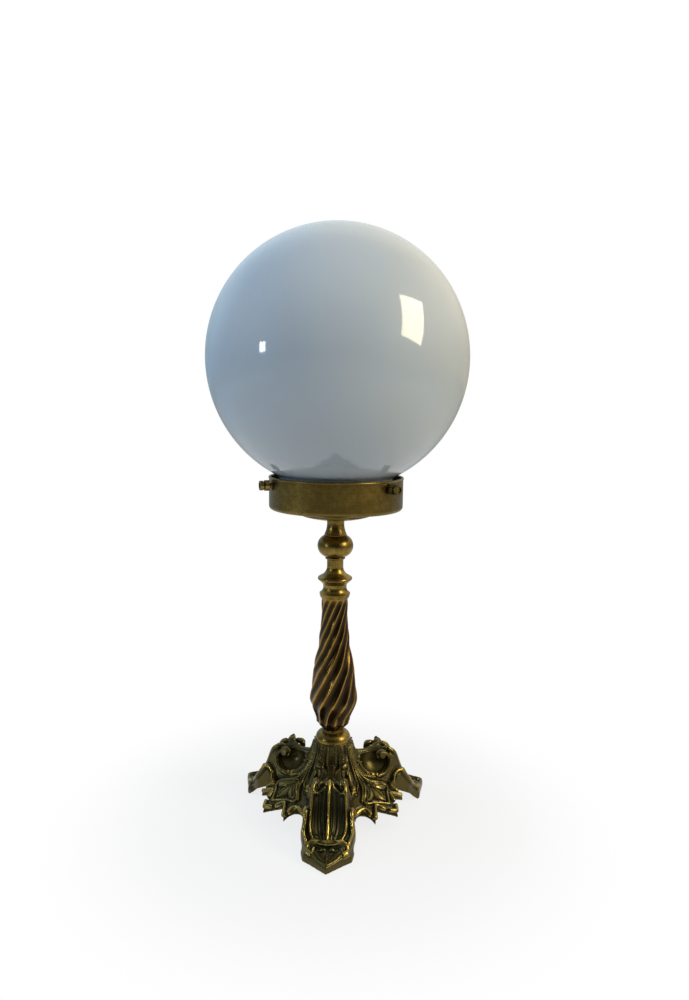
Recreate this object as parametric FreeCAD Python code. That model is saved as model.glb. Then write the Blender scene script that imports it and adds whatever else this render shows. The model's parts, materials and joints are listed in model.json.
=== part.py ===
import FreeCAD, Part

import math
import os

# Glass globe table lamp: an opal globe held by three thumb screws in a spun gallery, on a turned
# neck, a twisted baluster column and a cast base with three feet.
# Millimetres, +Z up. The origin is the centre of the base on the surface that the lamp stands on,
# and one foot points along -Y.

# --- fits and clearances ----------------------------------------------------------------------
SLIP = 0.15              # radial clearance of a turned piece on the centre tube
BODY_GAP = 0.3           # clearance between pieces that move against each other
THREAD_GAP = 0.1         # radial clearance drawn in place of a thread

# --- centre tube and its fixings --------------------------------------------------------------
TUBE_R = 5.0
TUBE_BORE_R = 4.0
TUBE_TAIL = 4.0          # tube left below the bottom nut
TUBE_TOP_ENGAGE = 8.0    # tube screwed into the lampholder cap
WASHER_R = 9.4
WASHER_T = 1.5
NUT_FLATS = 15.0
NUT_T = 5.0
TAG_R = 7.6
TAG_T = 0.8
TAG_W = 4.0
TAG_LENGTH = 7.0
BUSH_FLANGE_R = 5.0
BUSH_FLANGE_T = 1.6
BUSH_SHANK = 6.0
BUSH_BORE_R = 2.8

# --- base casting -----------------------------------------------------------------------------
FEET = 3
FOOT_R = 89.8            # reach of a toe from the lamp's axis
FOOT_H = 13.5            # height of the foot block under its dish
TOE_H = 12.5             # height of the foot at the tip of its toe
BASE_H = 61.0
HUB_R = 15.2             # radius of the turned top of the base
HUB_FLOOR_T = 6.0
HUB_WALL = 4.4
SKIRT_TOP_R = 30.0       # where the hub's flare ends and the sloping skirt begins
SKIRT_TOP_Z = 31.0
CORNER_R = 61.5          # reach of a skirt corner, midway between two feet
CORNER_Z = 15.5
SKIRT_T = 4.2
SPUR_R = 58.3
SPUR_ANGLE = 22.6        # angle of a spur from its corner
NOTCH_R = 50.0
NOTCH_ANGLE = 13.4
ARCH_R = 49.0            # nearest reach of the arch between a spur and a leg
ARCH_ANGLE = 29.5
LEG_HALF_W = 18.3        # half width of a leg where it is narrowest
LEG_HALF_W_R = 50.0
FOOT_HALF_W = 20.4       # half width of the foot across its side scrolls
FOOT_HALF_W_R = 66.0
BALL_R = 74.5            # where the foot's side turns in towards the toe
BALL_HALF_W = 18.0
OGEE_R = 79.0            # hollow of the ogee between the ball and the toe
OGEE_HALF_W = 12.3
FOOT_BACK_R = 70.0       # where the reeded front of the leg meets the top of the foot
KNEE_R = 45.0            # crest of the knee
KNEE_Z = 46.8
KNEE_HALF_W = 13.0
SADDLE_R = 30.0          # lowest place of the ridge from the hub to the knee
SADDLE_Z = 44.6
COVE_R = 17.0            # round hollow in each side of a knee
COVE_CENTRE_R = 32.0
COVE_CENTRE_Z = 44.0
COVE_OFFSET = 20.5       # from the leg's middle plane to the centre of a cove
CHANNEL_R = 40.0         # under side of a leg, and the hollow above it
CHANNEL_Z = 16.5
CHANNEL_ROOF_Z = 24.0
CHANNEL_WALL = 5.0
HEEL_R = 72.0            # where the flat sole of a foot ends
SCROLL_BEAD_R = 1.7      # C-scroll bead round each cove
SCROLL_OFFSET = 13.2
SCROLL_LEAN = 20.0       # degrees that a scroll's foot leans away from the leg
SCROLL_LOW_R = 35.5      # lowest place of a C-scroll
SCROLL_LOW_Z = 28.4
SCROLL_TURN_R = 10.6
SCROLL_START_Z = 41.0    # where a C-scroll leaves the hub
SCROLL_END_R = 40.5      # where it curls over on the knee
CURL_R = 2.9
DISH_DEPTH = 2.2
DISH_WALL = 2.6
PEARL_R = 2.1
PEARL_OFFSET = 3.3
PANEL_DEPTH = 1.0
SCALLOP_DEPTH = 1.8

# --- turned pieces of the stem ----------------------------------------------------------------
COLLAR_H = 8.6
COLLAR_R = 14.2
COLLAR_NECK_R = 8.8
COLUMN_H = 110.0
COLUMN_FOOT_R = 8.4
COLUMN_BELLY_R = 19.3
COLUMN_HEAD_R = 10.6
COLUMN_WALL = 3.6
COLUMN_END_T = 6.0       # solid ends of the hollow column, which fit the tube
FLUTES = 12
FLUTE_DEPTH = 0.085      # depth of a flute as a share of the column's radius there
FLUTE_RUN_OUT = 5.0      # length over which the flutes fade at each end
COLUMN_SECTIONS = 16
TWIST_RATE_FOOT = 1.15   # degrees of twist per millimetre at the foot
TWIST_RATE_HEAD = 2.45
FERRULE_H = 10.6
FERRULE_R = 12.2
FERRULE_WAIST_R = 9.3
DISC_H = 20.0
DISC_R = 13.7
NECK_R = 6.5
KNOP_H = 31.8
KNOP_R = 14.2
KNOP_NECK_R = 6.8
BEAD_R = 7.9
SAUCER_H = 8.4
SAUCER_R = 27.1
SAUCER_WALL = 1.4
SAUCER_RIM_H = 5.0        # height of the upright rim under the gallery's floor
SAUCER_BELLY_H = 1.1      # rise of the underside half way out

# --- gallery, screws and globe ----------------------------------------------------------------
GALLERY_R = 52.5
GALLERY_H = 25.8
GALLERY_WALL = 0.9
GALLERY_CORNER_R = 3.0
RIM_BEAD_R = 0.9
SCREWS = 3
SCREW_AZIMUTH = 81.7     # of the first thumb screw
SCREW_R = 2.0
SCREW_DROP = 6.2         # from the gallery's rim down to the screws' axes
SCREW_STAND_OUT = 8.8
SCREW_COLLAR_R = 4.1
SCREW_COLLAR_T = 3.4
SCREW_GROOVE_T = 1.2
SCREW_GROOVE_R = 2.6
SCREW_HEAD_R = 3.7
SCREW_HEAD_T = 2.5
SCREW_RECESS_R = 2.3
SCREW_RECESS = 0.8
SCREW_NUT_R = 4.4
SCREW_NUT_T = 1.9
GLOBE_R = 100.6
GLASS_T = 2.5
GLOBE_NECK_R = 44.0
GLOBE_LIP_R = 48.8
GLOBE_LIP_H = 5.0
GLOBE_FILLET_R = 5.0
GLOBE_SINK = 3.56         # depth below the gallery's rim at which the neck starts to flare

# --- lampholder and bulb ----------------------------------------------------------------------
TOP_WASHER_R = 13.0
TOP_WASHER_T = 1.2
LOCKNUT_FLATS = 17.0
LOCKNUT_T = 4.0
HOLDER_R = 19.5
HOLDER_CAP_H = 20.0
HOLDER_BOSS_R = 8.0
HOLDER_SHELL_H = 36.0
HOLDER_WALL = 1.1
HOLDER_RING_R = 22.0
HOLDER_RING_H = 7.0
CORE_H = 14.0
CORE_Z_IN_CAP = 12.0     # from the bottom of the cap to the bottom of the porcelain core
CORE_POCKET_R = 8.0
CORE_POCKET_DEPTH = 3.0
SCREW_SHELL_BORE_R = 13.5
SCREW_SHELL_WALL = 0.5
SCREW_SHELL_H = 25.0
SPRING_W = 4.5
SPRING_T = 0.5
SPRING_RISE = 2.4
SPRING_L = 13.0
TERMINAL_R = 1.6
TERMINAL_L = 4.0
TERMINAL_OFFSET = 9.0
BULB_R = 30.0
BULB_NECK_R = 15.0
BULB_LENGTH = 104.0
BULB_CAP_H = 23.0
BULB_TIP_R = 4.6
BULB_TIP_H = 2.0
BULB_INSULATOR_H = 3.2
BULB_GLASS_T = 0.8
BULB_CAP_WALL = 0.5
BULB_SEAT = 3.0          # length of the bulb's neck inside its cap
BULB_SHOULDER_ANGLE = 18.0
STEM_R = 4.0
STEM_TOP_R = 2.2
STEM_H = 34.0
FILAMENT_R = 0.5
FILAMENT_SPREAD = 9.0
FILAMENT_RISE = 9.0

# --- heights worked out from the sizes above --------------------------------------------------
COLLAR_Z = BASE_H
COLUMN_Z = COLLAR_Z + COLLAR_H
FERRULE_Z = COLUMN_Z + COLUMN_H
DISC_Z = FERRULE_Z + FERRULE_H
KNOP_Z = DISC_Z + DISC_H
SAUCER_Z = KNOP_Z + KNOP_H
GALLERY_Z = SAUCER_Z + SAUCER_H
GALLERY_FLOOR_Z = GALLERY_Z + GALLERY_WALL
GALLERY_TOP_Z = GALLERY_Z + GALLERY_H
SCREW_Z = GALLERY_TOP_Z - SCREW_DROP
HUB_CEILING_Z = BASE_H - HUB_FLOOR_T
WASHER_Z = HUB_CEILING_Z - WASHER_T
TAG_Z = WASHER_Z - TAG_T
NUT_Z = TAG_Z - NUT_T
TUBE_Z = NUT_Z - TUBE_TAIL
TOP_WASHER_Z = GALLERY_FLOOR_Z
LOCKNUT_Z = TOP_WASHER_Z + TOP_WASHER_T
HOLDER_Z = LOCKNUT_Z + LOCKNUT_T
SHELL_Z = HOLDER_Z + HOLDER_CAP_H
SHELL_TOP_Z = SHELL_Z + HOLDER_SHELL_H
TUBE_TOP_Z = HOLDER_Z + TUBE_TOP_ENGAGE
CORE_Z = HOLDER_Z + CORE_Z_IN_CAP
CORE_TOP_Z = CORE_Z + CORE_H
SCREW_SHELL_Z = CORE_TOP_Z
BULB_CAP_R = SCREW_SHELL_BORE_R - BODY_GAP
BULB_Z = CORE_TOP_Z - CORE_POCKET_DEPTH + SPRING_RISE + SPRING_T + BODY_GAP
BULB_CAP_Z = BULB_Z + BULB_TIP_H + BULB_INSULATOR_H
BULB_GLASS_Z = BULB_CAP_Z + BULB_CAP_H
BULB_TOP_Z = BULB_Z + BULB_LENGTH
GLOBE_Z = GALLERY_FLOOR_Z + BODY_GAP
FIT_R = TUBE_R + SLIP
EPS = 0.01

Z_AXIS = FreeCAD.Vector(0, 0, 1)
ORIGIN = FreeCAD.Vector(0, 0, 0)


# --- outlines and basic solids ----------------------------------------------------------------
class Outline:
    """A closed outline in the XZ plane, drawn as r along X and z along Z."""

    def __init__(self, r, z):
        self.start = self.here = FreeCAD.Vector(r, 0, z)
        self.edges = []

    def line(self, r, z):
        end = FreeCAD.Vector(r, 0, z)
        self.edges.append(Part.LineSegment(self.here, end).toShape())
        self.here = end
        return self

    def arc(self, via, end):
        middle = FreeCAD.Vector(via[0], 0, via[1])
        end = FreeCAD.Vector(end[0], 0, end[1])
        self.edges.append(Part.Arc(self.here, middle, end).toShape())
        self.here = end
        return self

    def spline(self, *points):
        places = [self.here] + [FreeCAD.Vector(r, 0, z) for r, z in points]
        curve = Part.BSplineCurve()
        curve.interpolate(places)
        self.edges.append(curve.toShape())
        self.here = places[-1]
        return self

    def face(self):
        self.line(self.start.x, self.start.z)
        return Part.Face(Part.Wire(self.edges))

    def turned(self):
        return self.face().revolve(ORIGIN, Z_AXIS, 360)

    def slab(self, half_width):
        """The outline given a width along Y, half of it to each side."""
        solid = self.face().extrude(FreeCAD.Vector(0, 2 * half_width, 0))
        return solid.translated(FreeCAD.Vector(0, -half_width, 0))


def polar(r, degrees, z=0.0):
    angle = math.radians(degrees)
    return FreeCAD.Vector(r * math.cos(angle), r * math.sin(angle), z)


def disc(radius, z, height):
    return Part.makeCylinder(radius, height, FreeCAD.Vector(0, 0, z))


def ring(outer_r, inner_r, z, height):
    return disc(outer_r, z, height).cut(disc(inner_r, z - 1, height + 2))


def hexagon(flats, z, height):
    corners = [polar(flats / math.sqrt(3), 60 * i, z) for i in range(7)]
    return Part.Face(Part.makePolygon(corners)).extrude(FreeCAD.Vector(0, 0, height))


def around(shape, count, first=0.0):
    """Copies of a shape spaced evenly about the lamp's axis."""
    copies = []
    for i in range(count):
        copy = shape.copy()
        copy.rotate(ORIGIN, Z_AXIS, first + 360.0 * i / count)
        copies.append(copy)
    return copies


def bored(shape, radius, z=0.0, height=600.0):
    return shape.cut(disc(radius, z, height))


# --- base casting -----------------------------------------------------------------------------
def base_plan():
    """The base seen from above: three toes, three skirt corners, and a spur each side of these."""
    step = 180.0 / FEET
    edges = []
    for i in range(FEET):
        foot = -90.0 + 2 * step * i
        for side in (1, -1):
            half = half_plan(foot, side)
            edges += half if side > 0 else half[::-1]
    return Part.Face(Part.Wire(Part.__sortEdges__(edges))).extrude(
        FreeCAD.Vector(0, 0, BASE_H + KNEE_Z))


def half_plan(foot, side):
    """Edges of the plan from a toe to the skirt corner on one side of it."""
    corner = 180.0 / FEET
    across = polar(1, foot + 90 * side)
    along = polar(1, foot)

    def on_leg(r, t):
        return along * r + across * t

    def on_skirt(r, from_corner):
        return polar(r, foot + side * (corner - from_corner))

    toe = on_leg(FOOT_R, 0)
    ogee = on_leg(OGEE_R, OGEE_HALF_W)
    ball = on_leg(BALL_R, BALL_HALF_W)
    bulge = on_leg(FOOT_HALF_W_R, FOOT_HALF_W)
    narrow = on_leg(LEG_HALF_W_R, LEG_HALF_W)
    side_curve = Part.BSplineCurve()
    side_curve.interpolate([ball, bulge, narrow])
    return [
        Part.LineSegment(toe, ogee).toShape(),
        Part.LineSegment(ogee, ball).toShape(),
        side_curve.toShape(),
        Part.Arc(narrow, on_skirt(ARCH_R, ARCH_ANGLE), on_skirt(SPUR_R, SPUR_ANGLE)).toShape(),
        Part.LineSegment(on_skirt(SPUR_R, SPUR_ANGLE), on_skirt(NOTCH_R, NOTCH_ANGLE)).toShape(),
        Part.LineSegment(on_skirt(NOTCH_R, NOTCH_ANGLE), on_skirt(CORNER_R, 0)).toShape(),
    ]


def hub_and_skirt():
    """The bell of the base: a flared hub over a sloping skirt, open underneath."""
    slope = (SKIRT_TOP_Z - CORNER_Z) / (CORNER_R - SKIRT_TOP_R)
    edge_r = CORNER_R + 1
    edge_z = CORNER_Z - slope
    return (Outline(0, BASE_H)
            .line(HUB_R, BASE_H)
            .spline((HUB_R + 1.0, BASE_H - 6), (HUB_R + 3.2, BASE_H - 14),
                    (HUB_R + 7.2, SKIRT_TOP_Z + 7.5), (SKIRT_TOP_R, SKIRT_TOP_Z))
            .line(edge_r, edge_z)
            .line(edge_r, edge_z - SKIRT_T)
            .line(SKIRT_TOP_R - 1, SKIRT_TOP_Z + slope - SKIRT_T)
            .spline((HUB_R + 2.4, SKIRT_TOP_Z + 3.5), (HUB_R - 2.2, BASE_H - 15),
                    (HUB_R - HUB_WALL, HUB_CEILING_Z))
            .line(0, HUB_CEILING_Z)
            .turned())


def leg_side():
    """The side view of a leg, along +X: hub, saddle, knee, ridged front and foot."""
    return (Outline(HUB_R - HUB_WALL + 1, KNEE_Z)
            .line(HUB_R + 2, KNEE_Z)
            .spline((SADDLE_R - 5, SADDLE_Z + 0.5), (SADDLE_R + 2, SADDLE_Z),
                    (KNEE_R - 5, KNEE_Z - 0.8), (KNEE_R, KNEE_Z),
                    (KNEE_R + 5.5, KNEE_Z - 2.6), (KNEE_R + 8.3, KNEE_Z - 8),
                    (KNEE_R + 11, KNEE_Z - 15.5), (KNEE_R + 15.5, KNEE_Z - 24),
                    (FOOT_BACK_R, FOOT_H))
            .line(FOOT_R, TOE_H)
            .line(FOOT_R, 0)
            .line(HEEL_R, 0)
            .spline((HEEL_R - 8, 7), (HEEL_R - 18, 12), (CHANNEL_R, CHANNEL_Z),
                    (CHANNEL_R - 14, CHANNEL_Z + 3.5), (HUB_R - 1, CHANNEL_ROOF_Z + 8))
            .face())


def leg_front():
    """The front view of a leg, narrowing from the foot to the scalloped knee."""
    right = [(FOOT_HALF_W + 1, -1), (FOOT_HALF_W + 0.4, 14), (LEG_HALF_W, 26),
             (KNEE_HALF_W + 2.2, 33), (KNEE_HALF_W + 1.6, 40), (KNEE_HALF_W - 1, KNEE_Z - 0.6),
             (KNEE_HALF_W - 4, KNEE_Z), (KNEE_HALF_W - 8.5, KNEE_Z - SCALLOP_DEPTH)]
    outline = right + [(0, KNEE_Z + 0.4)] + [(-t, z) for t, z in reversed(right)]
    points = [FreeCAD.Vector(0, t, z) for t, z in outline + outline[:1]]
    return Part.Face(Part.makePolygon(points)).extrude(FreeCAD.Vector(FOOT_R + 1, 0, 0))


def leg_channel():
    """The hollow inside a leg, open underneath."""
    return (Outline(HUB_R - 3, -1)
            .line(HUB_R - 3, CHANNEL_ROOF_Z + 12)
            .line(HUB_R + 2, CHANNEL_ROOF_Z + 8)
            .line(HUB_R + 12, CHANNEL_ROOF_Z)
            .line(KNEE_R + 5, CHANNEL_ROOF_Z)
            .line(HEEL_R - 8, 9)
            .line(HEEL_R - 6, -1)
            .slab(LEG_HALF_W - CHANNEL_WALL))


def knee_coves():
    """The two round hollows in the sides of a knee, which leave a ridge between them."""
    return [Part.makeSphere(COVE_R, FreeCAD.Vector(COVE_CENTRE_R, side * COVE_OFFSET, COVE_CENTRE_Z))
            for side in (1, -1)]


def arc_between(start, end, centre):
    """The shorter arc from start to end about a centre."""
    middle = (start + end) * 0.5 - centre
    middle.normalize()
    return Part.Arc(start, centre + middle * (start - centre).Length, end).toShape()


def scroll_bead():
    """One C-scroll: a round bead that falls from the hub, turns up, curls over and ends in a volute."""
    low = FreeCAD.Vector(SCROLL_LOW_R, 0, SCROLL_LOW_Z)
    out = low + FreeCAD.Vector(SCROLL_TURN_R, 0, SCROLL_TURN_R)
    start = FreeCAD.Vector(HUB_R + 2.6, 0, SCROLL_START_Z)
    crest = FreeCAD.Vector(SCROLL_END_R, 0, KNEE_Z - SCROLL_BEAD_R)
    fall = low - start
    fall_r = (fall.x ** 2 + fall.z ** 2) / (2 * -fall.z)
    over = out - crest
    over_r = (over.x ** 2 + over.z ** 2) / (2 * over.x)
    path = Part.Wire([
        arc_between(start, low, low + FreeCAD.Vector(0, 0, fall_r)),
        arc_between(low, out, low + FreeCAD.Vector(0, 0, SCROLL_TURN_R)),
        arc_between(out, crest, out - FreeCAD.Vector(over_r, 0, 0)),
    ])
    first = path.Edges[0]
    section = Part.Wire(Part.makeCircle(SCROLL_BEAD_R, start, first.tangentAt(first.FirstParameter)))
    bead = path.makePipeShell([section], True, False, 2)
    volute = Part.makeCylinder(CURL_R, 2 * SCROLL_BEAD_R,
                               FreeCAD.Vector(crest.x - 0.8, SCROLL_BEAD_R, crest.z - CURL_R + 1.2),
                               FreeCAD.Vector(0, -1, 0))
    return bead, volute


def foot_dish():
    """The pointed dish sunk in the top of a foot."""
    back = FOOT_BACK_R + DISH_WALL / 2
    half = OGEE_HALF_W
    points = [FreeCAD.Vector(r, t, TOE_H - DISH_DEPTH)
              for r, t in [(back, -half), (FOOT_R - 2 * DISH_WALL, 0), (back, half), (back, -half)]]
    return Part.Face(Part.makePolygon(points)).extrude(FreeCAD.Vector(0, 0, FOOT_H))


def foot_pearls():
    floor_z = TOE_H - DISH_DEPTH
    centre_r = FOOT_BACK_R + DISH_WALL / 2 + PEARL_R
    return [Part.makeSphere(PEARL_R, FreeCAD.Vector(centre_r, side * PEARL_OFFSET, floor_z))
            for side in (1, -1)]


def leg():
    body = leg_side().extrude(FreeCAD.Vector(0, 2 * FOOT_HALF_W + 2, 0))
    body.translate(FreeCAD.Vector(0, -FOOT_HALF_W - 1, 0))
    body = body.common(leg_front()).cut([leg_channel(), foot_dish()] + knee_coves())
    pieces = foot_pearls()
    for side in (1, -1):
        for piece in scroll_bead():
            piece.rotate(FreeCAD.Vector(0, 0, SCROLL_START_Z), FreeCAD.Vector(1, 0, 0), side * SCROLL_LEAN)
            pieces.append(piece.translated(FreeCAD.Vector(0, side * SCROLL_OFFSET, 0)))
    return body.multiFuse(pieces)


def panel_recess():
    """The sunk field of one skirt panel, a kite that points to the corner, along +X."""
    slope = math.degrees(math.atan2(SKIRT_TOP_Z - CORNER_Z, CORNER_R - SKIRT_TOP_R))
    kite = [(SKIRT_TOP_R + 4, 0), (NOTCH_R - 6, 8.5), (CORNER_R - 7, 0), (NOTCH_R - 6, -8.5)]
    points = [FreeCAD.Vector(r - SKIRT_TOP_R, t, -PANEL_DEPTH) for r, t in kite + kite[:1]]
    tool = Part.Face(Part.makePolygon(points)).extrude(FreeCAD.Vector(0, 0, 10))
    tool.rotate(ORIGIN, FreeCAD.Vector(0, 1, 0), slope)
    return tool.translated(FreeCAD.Vector(SKIRT_TOP_R, 0, SKIRT_TOP_Z))


def base_casting():
    bell = hub_and_skirt().cut(Part.makeCompound(around(panel_recess(), FEET, -30.0)))
    casting = bell.multiFuse(around(leg(), FEET, -90.0))
    casting = casting.common(base_plan())
    cavity = (Outline(0, -1)
              .line(HUB_R - 1.2, -1)
              .line(HUB_R - 1.2, SKIRT_TOP_Z)
              .line(HUB_R - HUB_WALL, HUB_CEILING_Z)
              .line(0, HUB_CEILING_Z)
              .turned())
    return bored(casting.cut(cavity), FIT_R)


# --- turned stem ------------------------------------------------------------------------------
def base_collar():
    solid = (Outline(FIT_R, COLLAR_Z)
             .line(COLLAR_R, COLLAR_Z)
             .line(COLLAR_R, COLLAR_Z + 1.8)
             .arc((COLLAR_R - 1.4, COLLAR_Z + 5.0), (COLLAR_NECK_R, COLLAR_Z + 7.2))
             .line(COLLAR_NECK_R, COLUMN_Z)
             .line(FIT_R, COLUMN_Z)
             .turned())
    return solid


def column_radius(height):
    """Radius over the ridges of the column at a height above its foot."""
    share = height / COLUMN_H
    knots = [(0.0, COLUMN_FOOT_R), (0.07, COLUMN_FOOT_R + 5.4), (0.235, COLUMN_BELLY_R),
             (0.44, COLUMN_BELLY_R - 2.4), (0.68, COLUMN_HEAD_R + 1.7),
             (0.86, COLUMN_HEAD_R - 0.1), (1.0, COLUMN_HEAD_R)]
    for (s0, r0), (s1, r1) in zip(knots, knots[1:]):
        if share <= s1:
            x = (share - s0) / (s1 - s0)
            return r0 + (r1 - r0) * x * x * (3 - 2 * x)
    return COLUMN_HEAD_R


def column_twist(height):
    growth = (TWIST_RATE_HEAD - TWIST_RATE_FOOT) / COLUMN_H
    return TWIST_RATE_FOOT * height + growth * height * height / 2


def column_section(height):
    """One fluted section: each flute is an arc that dips between two ridges."""
    ridge_r = column_radius(height)
    fade = min(1.0, height / FLUTE_RUN_OUT, (COLUMN_H - height) / FLUTE_RUN_OUT)
    valley_r = ridge_r * (1 - FLUTE_DEPTH * fade)
    half = 180.0 / FLUTES
    arcs = []
    for i in range(FLUTES):
        turn = 2 * half * i + column_twist(height)
        arcs.append(Part.Arc(polar(ridge_r, turn, COLUMN_Z + height),
                             polar(valley_r, turn + half, COLUMN_Z + height),
                             polar(ridge_r, turn + 2 * half, COLUMN_Z + height)).toShape())
    return Part.Wire(arcs)


def column_stations():
    """Heights of the sections, closer together at the foot, where the column swells fastest."""
    steps = [(i / COLUMN_SECTIONS) ** 1.15 for i in range(COLUMN_SECTIONS + 1)]
    return [COLUMN_H * step for step in steps]


def twisted_column():
    outside = Part.makeLoft([column_section(height) for height in column_stations()], True, True)
    heights = [COLUMN_END_T + 5, COLUMN_H * 0.24, COLUMN_H * 0.42, COLUMN_H * 0.7,
               COLUMN_H - COLUMN_END_T]
    inner = [(max(FIT_R, column_radius(h) * (1 - FLUTE_DEPTH) - COLUMN_WALL), COLUMN_Z + h)
             for h in heights]
    cavity = (Outline(0, COLUMN_Z + COLUMN_END_T)
              .line(FIT_R, COLUMN_Z + COLUMN_END_T)
              .spline(*inner)
              .line(0, inner[-1][1])
              .turned())
    return bored(outside.cut(cavity), FIT_R)


def ferrule():
    top = DISC_Z
    return (Outline(FIT_R, FERRULE_Z)
            .line(FERRULE_R - 0.7, FERRULE_Z)
            .line(FERRULE_R, FERRULE_Z + 2.4)
            .line(FERRULE_R, FERRULE_Z + 3.4)
            .arc((FERRULE_WAIST_R + 0.7, FERRULE_Z + 5.6), (FERRULE_WAIST_R, top - 2.4))
            .line(FERRULE_WAIST_R + 0.3, top)
            .line(FIT_R, top)
            .turned())


def disc_collar():
    return (Outline(FIT_R, DISC_Z)
            .line(FERRULE_WAIST_R + 0.3, DISC_Z)
            .arc((DISC_R - 2.6, DISC_Z + 1.6), (DISC_R - 0.4, DISC_Z + 3.6))
            .arc((DISC_R, DISC_Z + 4.6), (DISC_R - 0.4, DISC_Z + 5.6))
            .line(DISC_R - 1.9, DISC_Z + 6.6)
            .arc((NECK_R + 1.6, DISC_Z + 9.4), (NECK_R, DISC_Z + 13.4))
            .line(NECK_R, KNOP_Z)
            .line(FIT_R, KNOP_Z)
            .turned())


def ball_knop():
    ball_z = KNOP_Z + 10.6
    return (Outline(FIT_R, KNOP_Z)
            .line(BEAD_R - 0.8, KNOP_Z)
            .arc((BEAD_R, KNOP_Z + 1.1), (BEAD_R - 0.4, KNOP_Z + 2.1))
            .arc((KNOP_R, ball_z), (BEAD_R + 0.9, ball_z + 8.6))
            .line(BEAD_R + 1.0, ball_z + 9.3)
            .arc((KNOP_NECK_R + 0.6, ball_z + 13.4), (KNOP_NECK_R, SAUCER_Z - 3))
            .line(KNOP_NECK_R + 0.3, SAUCER_Z)
            .line(FIT_R, SAUCER_Z)
            .turned())


def gallery_saucer():
    """The shallow spun dish that backs the gallery's floor."""
    rim_z = GALLERY_Z - SAUCER_RIM_H
    belly_z = SAUCER_Z + SAUCER_BELLY_H
    outside = (Outline(FIT_R, SAUCER_Z)
               .line(KNOP_NECK_R + 1.2, SAUCER_Z)
               .arc((SAUCER_R * 0.66, belly_z), (SAUCER_R, rim_z))
               .line(SAUCER_R, GALLERY_Z - 0.8)
               .line(SAUCER_R - 0.8, GALLERY_Z)
               .line(FIT_R, GALLERY_Z)
               .turned())
    inside = (Outline(KNOP_NECK_R + SAUCER_WALL, SAUCER_Z + 1.5 * SAUCER_WALL)
              .arc((SAUCER_R * 0.62, belly_z + SAUCER_WALL), (SAUCER_R - 3, rim_z + 0.4))
              .line(SAUCER_R - 3, GALLERY_Z + 1)
              .line(KNOP_NECK_R + SAUCER_WALL, GALLERY_Z + 1)
              .turned())
    return outside.cut(inside)


# --- gallery, screws and globe ----------------------------------------------------------------
def screw_azimuths():
    return [SCREW_AZIMUTH + 360.0 * i / SCREWS for i in range(SCREWS)]


def radial_rod(radius, inner_r, outer_r, azimuth, z):
    direction = polar(1, azimuth)
    return Part.makeCylinder(radius, outer_r - inner_r, polar(inner_r, azimuth, z), direction)


def gallery():
    corner = GALLERY_CORNER_R
    inner_corner = corner - GALLERY_WALL
    inside_r = GALLERY_R - GALLERY_WALL
    cos45 = math.cos(math.radians(45))
    cup = (Outline(FIT_R, GALLERY_Z)
           .line(GALLERY_R - corner, GALLERY_Z)
           .arc((GALLERY_R - corner * (1 - cos45), GALLERY_Z + corner * (1 - cos45)),
                (GALLERY_R, GALLERY_Z + corner))
           .line(GALLERY_R, GALLERY_TOP_Z)
           .line(inside_r, GALLERY_TOP_Z)
           .line(inside_r, GALLERY_Z + corner)
           .arc((inside_r - inner_corner * (1 - cos45), GALLERY_FLOOR_Z + inner_corner * (1 - cos45)),
                (inside_r - inner_corner, GALLERY_FLOOR_Z))
           .line(FIT_R, GALLERY_FLOOR_Z)
           .turned())
    bead = Part.makeTorus(GALLERY_R - GALLERY_WALL / 2, RIM_BEAD_R,
                          FreeCAD.Vector(0, 0, GALLERY_TOP_Z - RIM_BEAD_R))
    holes = [radial_rod(SCREW_R + THREAD_GAP, inside_r - 2, GALLERY_R + 2, azimuth, SCREW_Z)
             for azimuth in screw_azimuths()]
    return cup.fuse(bead).cut(Part.makeCompound(holes))


def screw_nuts():
    """Round nuts riveted inside the gallery's wall, one for each thumb screw."""
    inside_r = GALLERY_R - GALLERY_WALL
    nuts = []
    for azimuth in screw_azimuths():
        nut = radial_rod(SCREW_NUT_R, inside_r - SCREW_NUT_T, inside_r + 1, azimuth, SCREW_Z)
        nut = nut.common(disc(inside_r, SCREW_Z - 10, 20))
        hole = radial_rod(SCREW_R + THREAD_GAP, inside_r - 9, inside_r + 9, azimuth, SCREW_Z)
        nuts.append(nut.cut(hole))
    return Part.makeCompound(nuts)


def thumb_screw(azimuth):
    """A thumb screw with a round collar, a groove and a recessed head, its tip clear of the lip."""
    tip_r = GLOBE_LIP_R + BODY_GAP
    end_r = GALLERY_R + SCREW_STAND_OUT
    head_r = end_r - SCREW_HEAD_T
    groove_r = head_r - SCREW_GROOVE_T
    collar_r = groove_r - SCREW_COLLAR_T
    shank = radial_rod(SCREW_R, tip_r, collar_r, azimuth, SCREW_Z)
    collar = radial_rod(SCREW_COLLAR_R, collar_r, groove_r, azimuth, SCREW_Z)
    groove = radial_rod(SCREW_GROOVE_R, groove_r, head_r, azimuth, SCREW_Z)
    head = radial_rod(SCREW_HEAD_R, head_r, end_r, azimuth, SCREW_Z)
    recess = radial_rod(SCREW_RECESS_R, end_r - SCREW_RECESS, end_r + 1, azimuth, SCREW_Z)
    return shank.multiFuse([collar, groove, head]).cut(recess)


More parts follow.
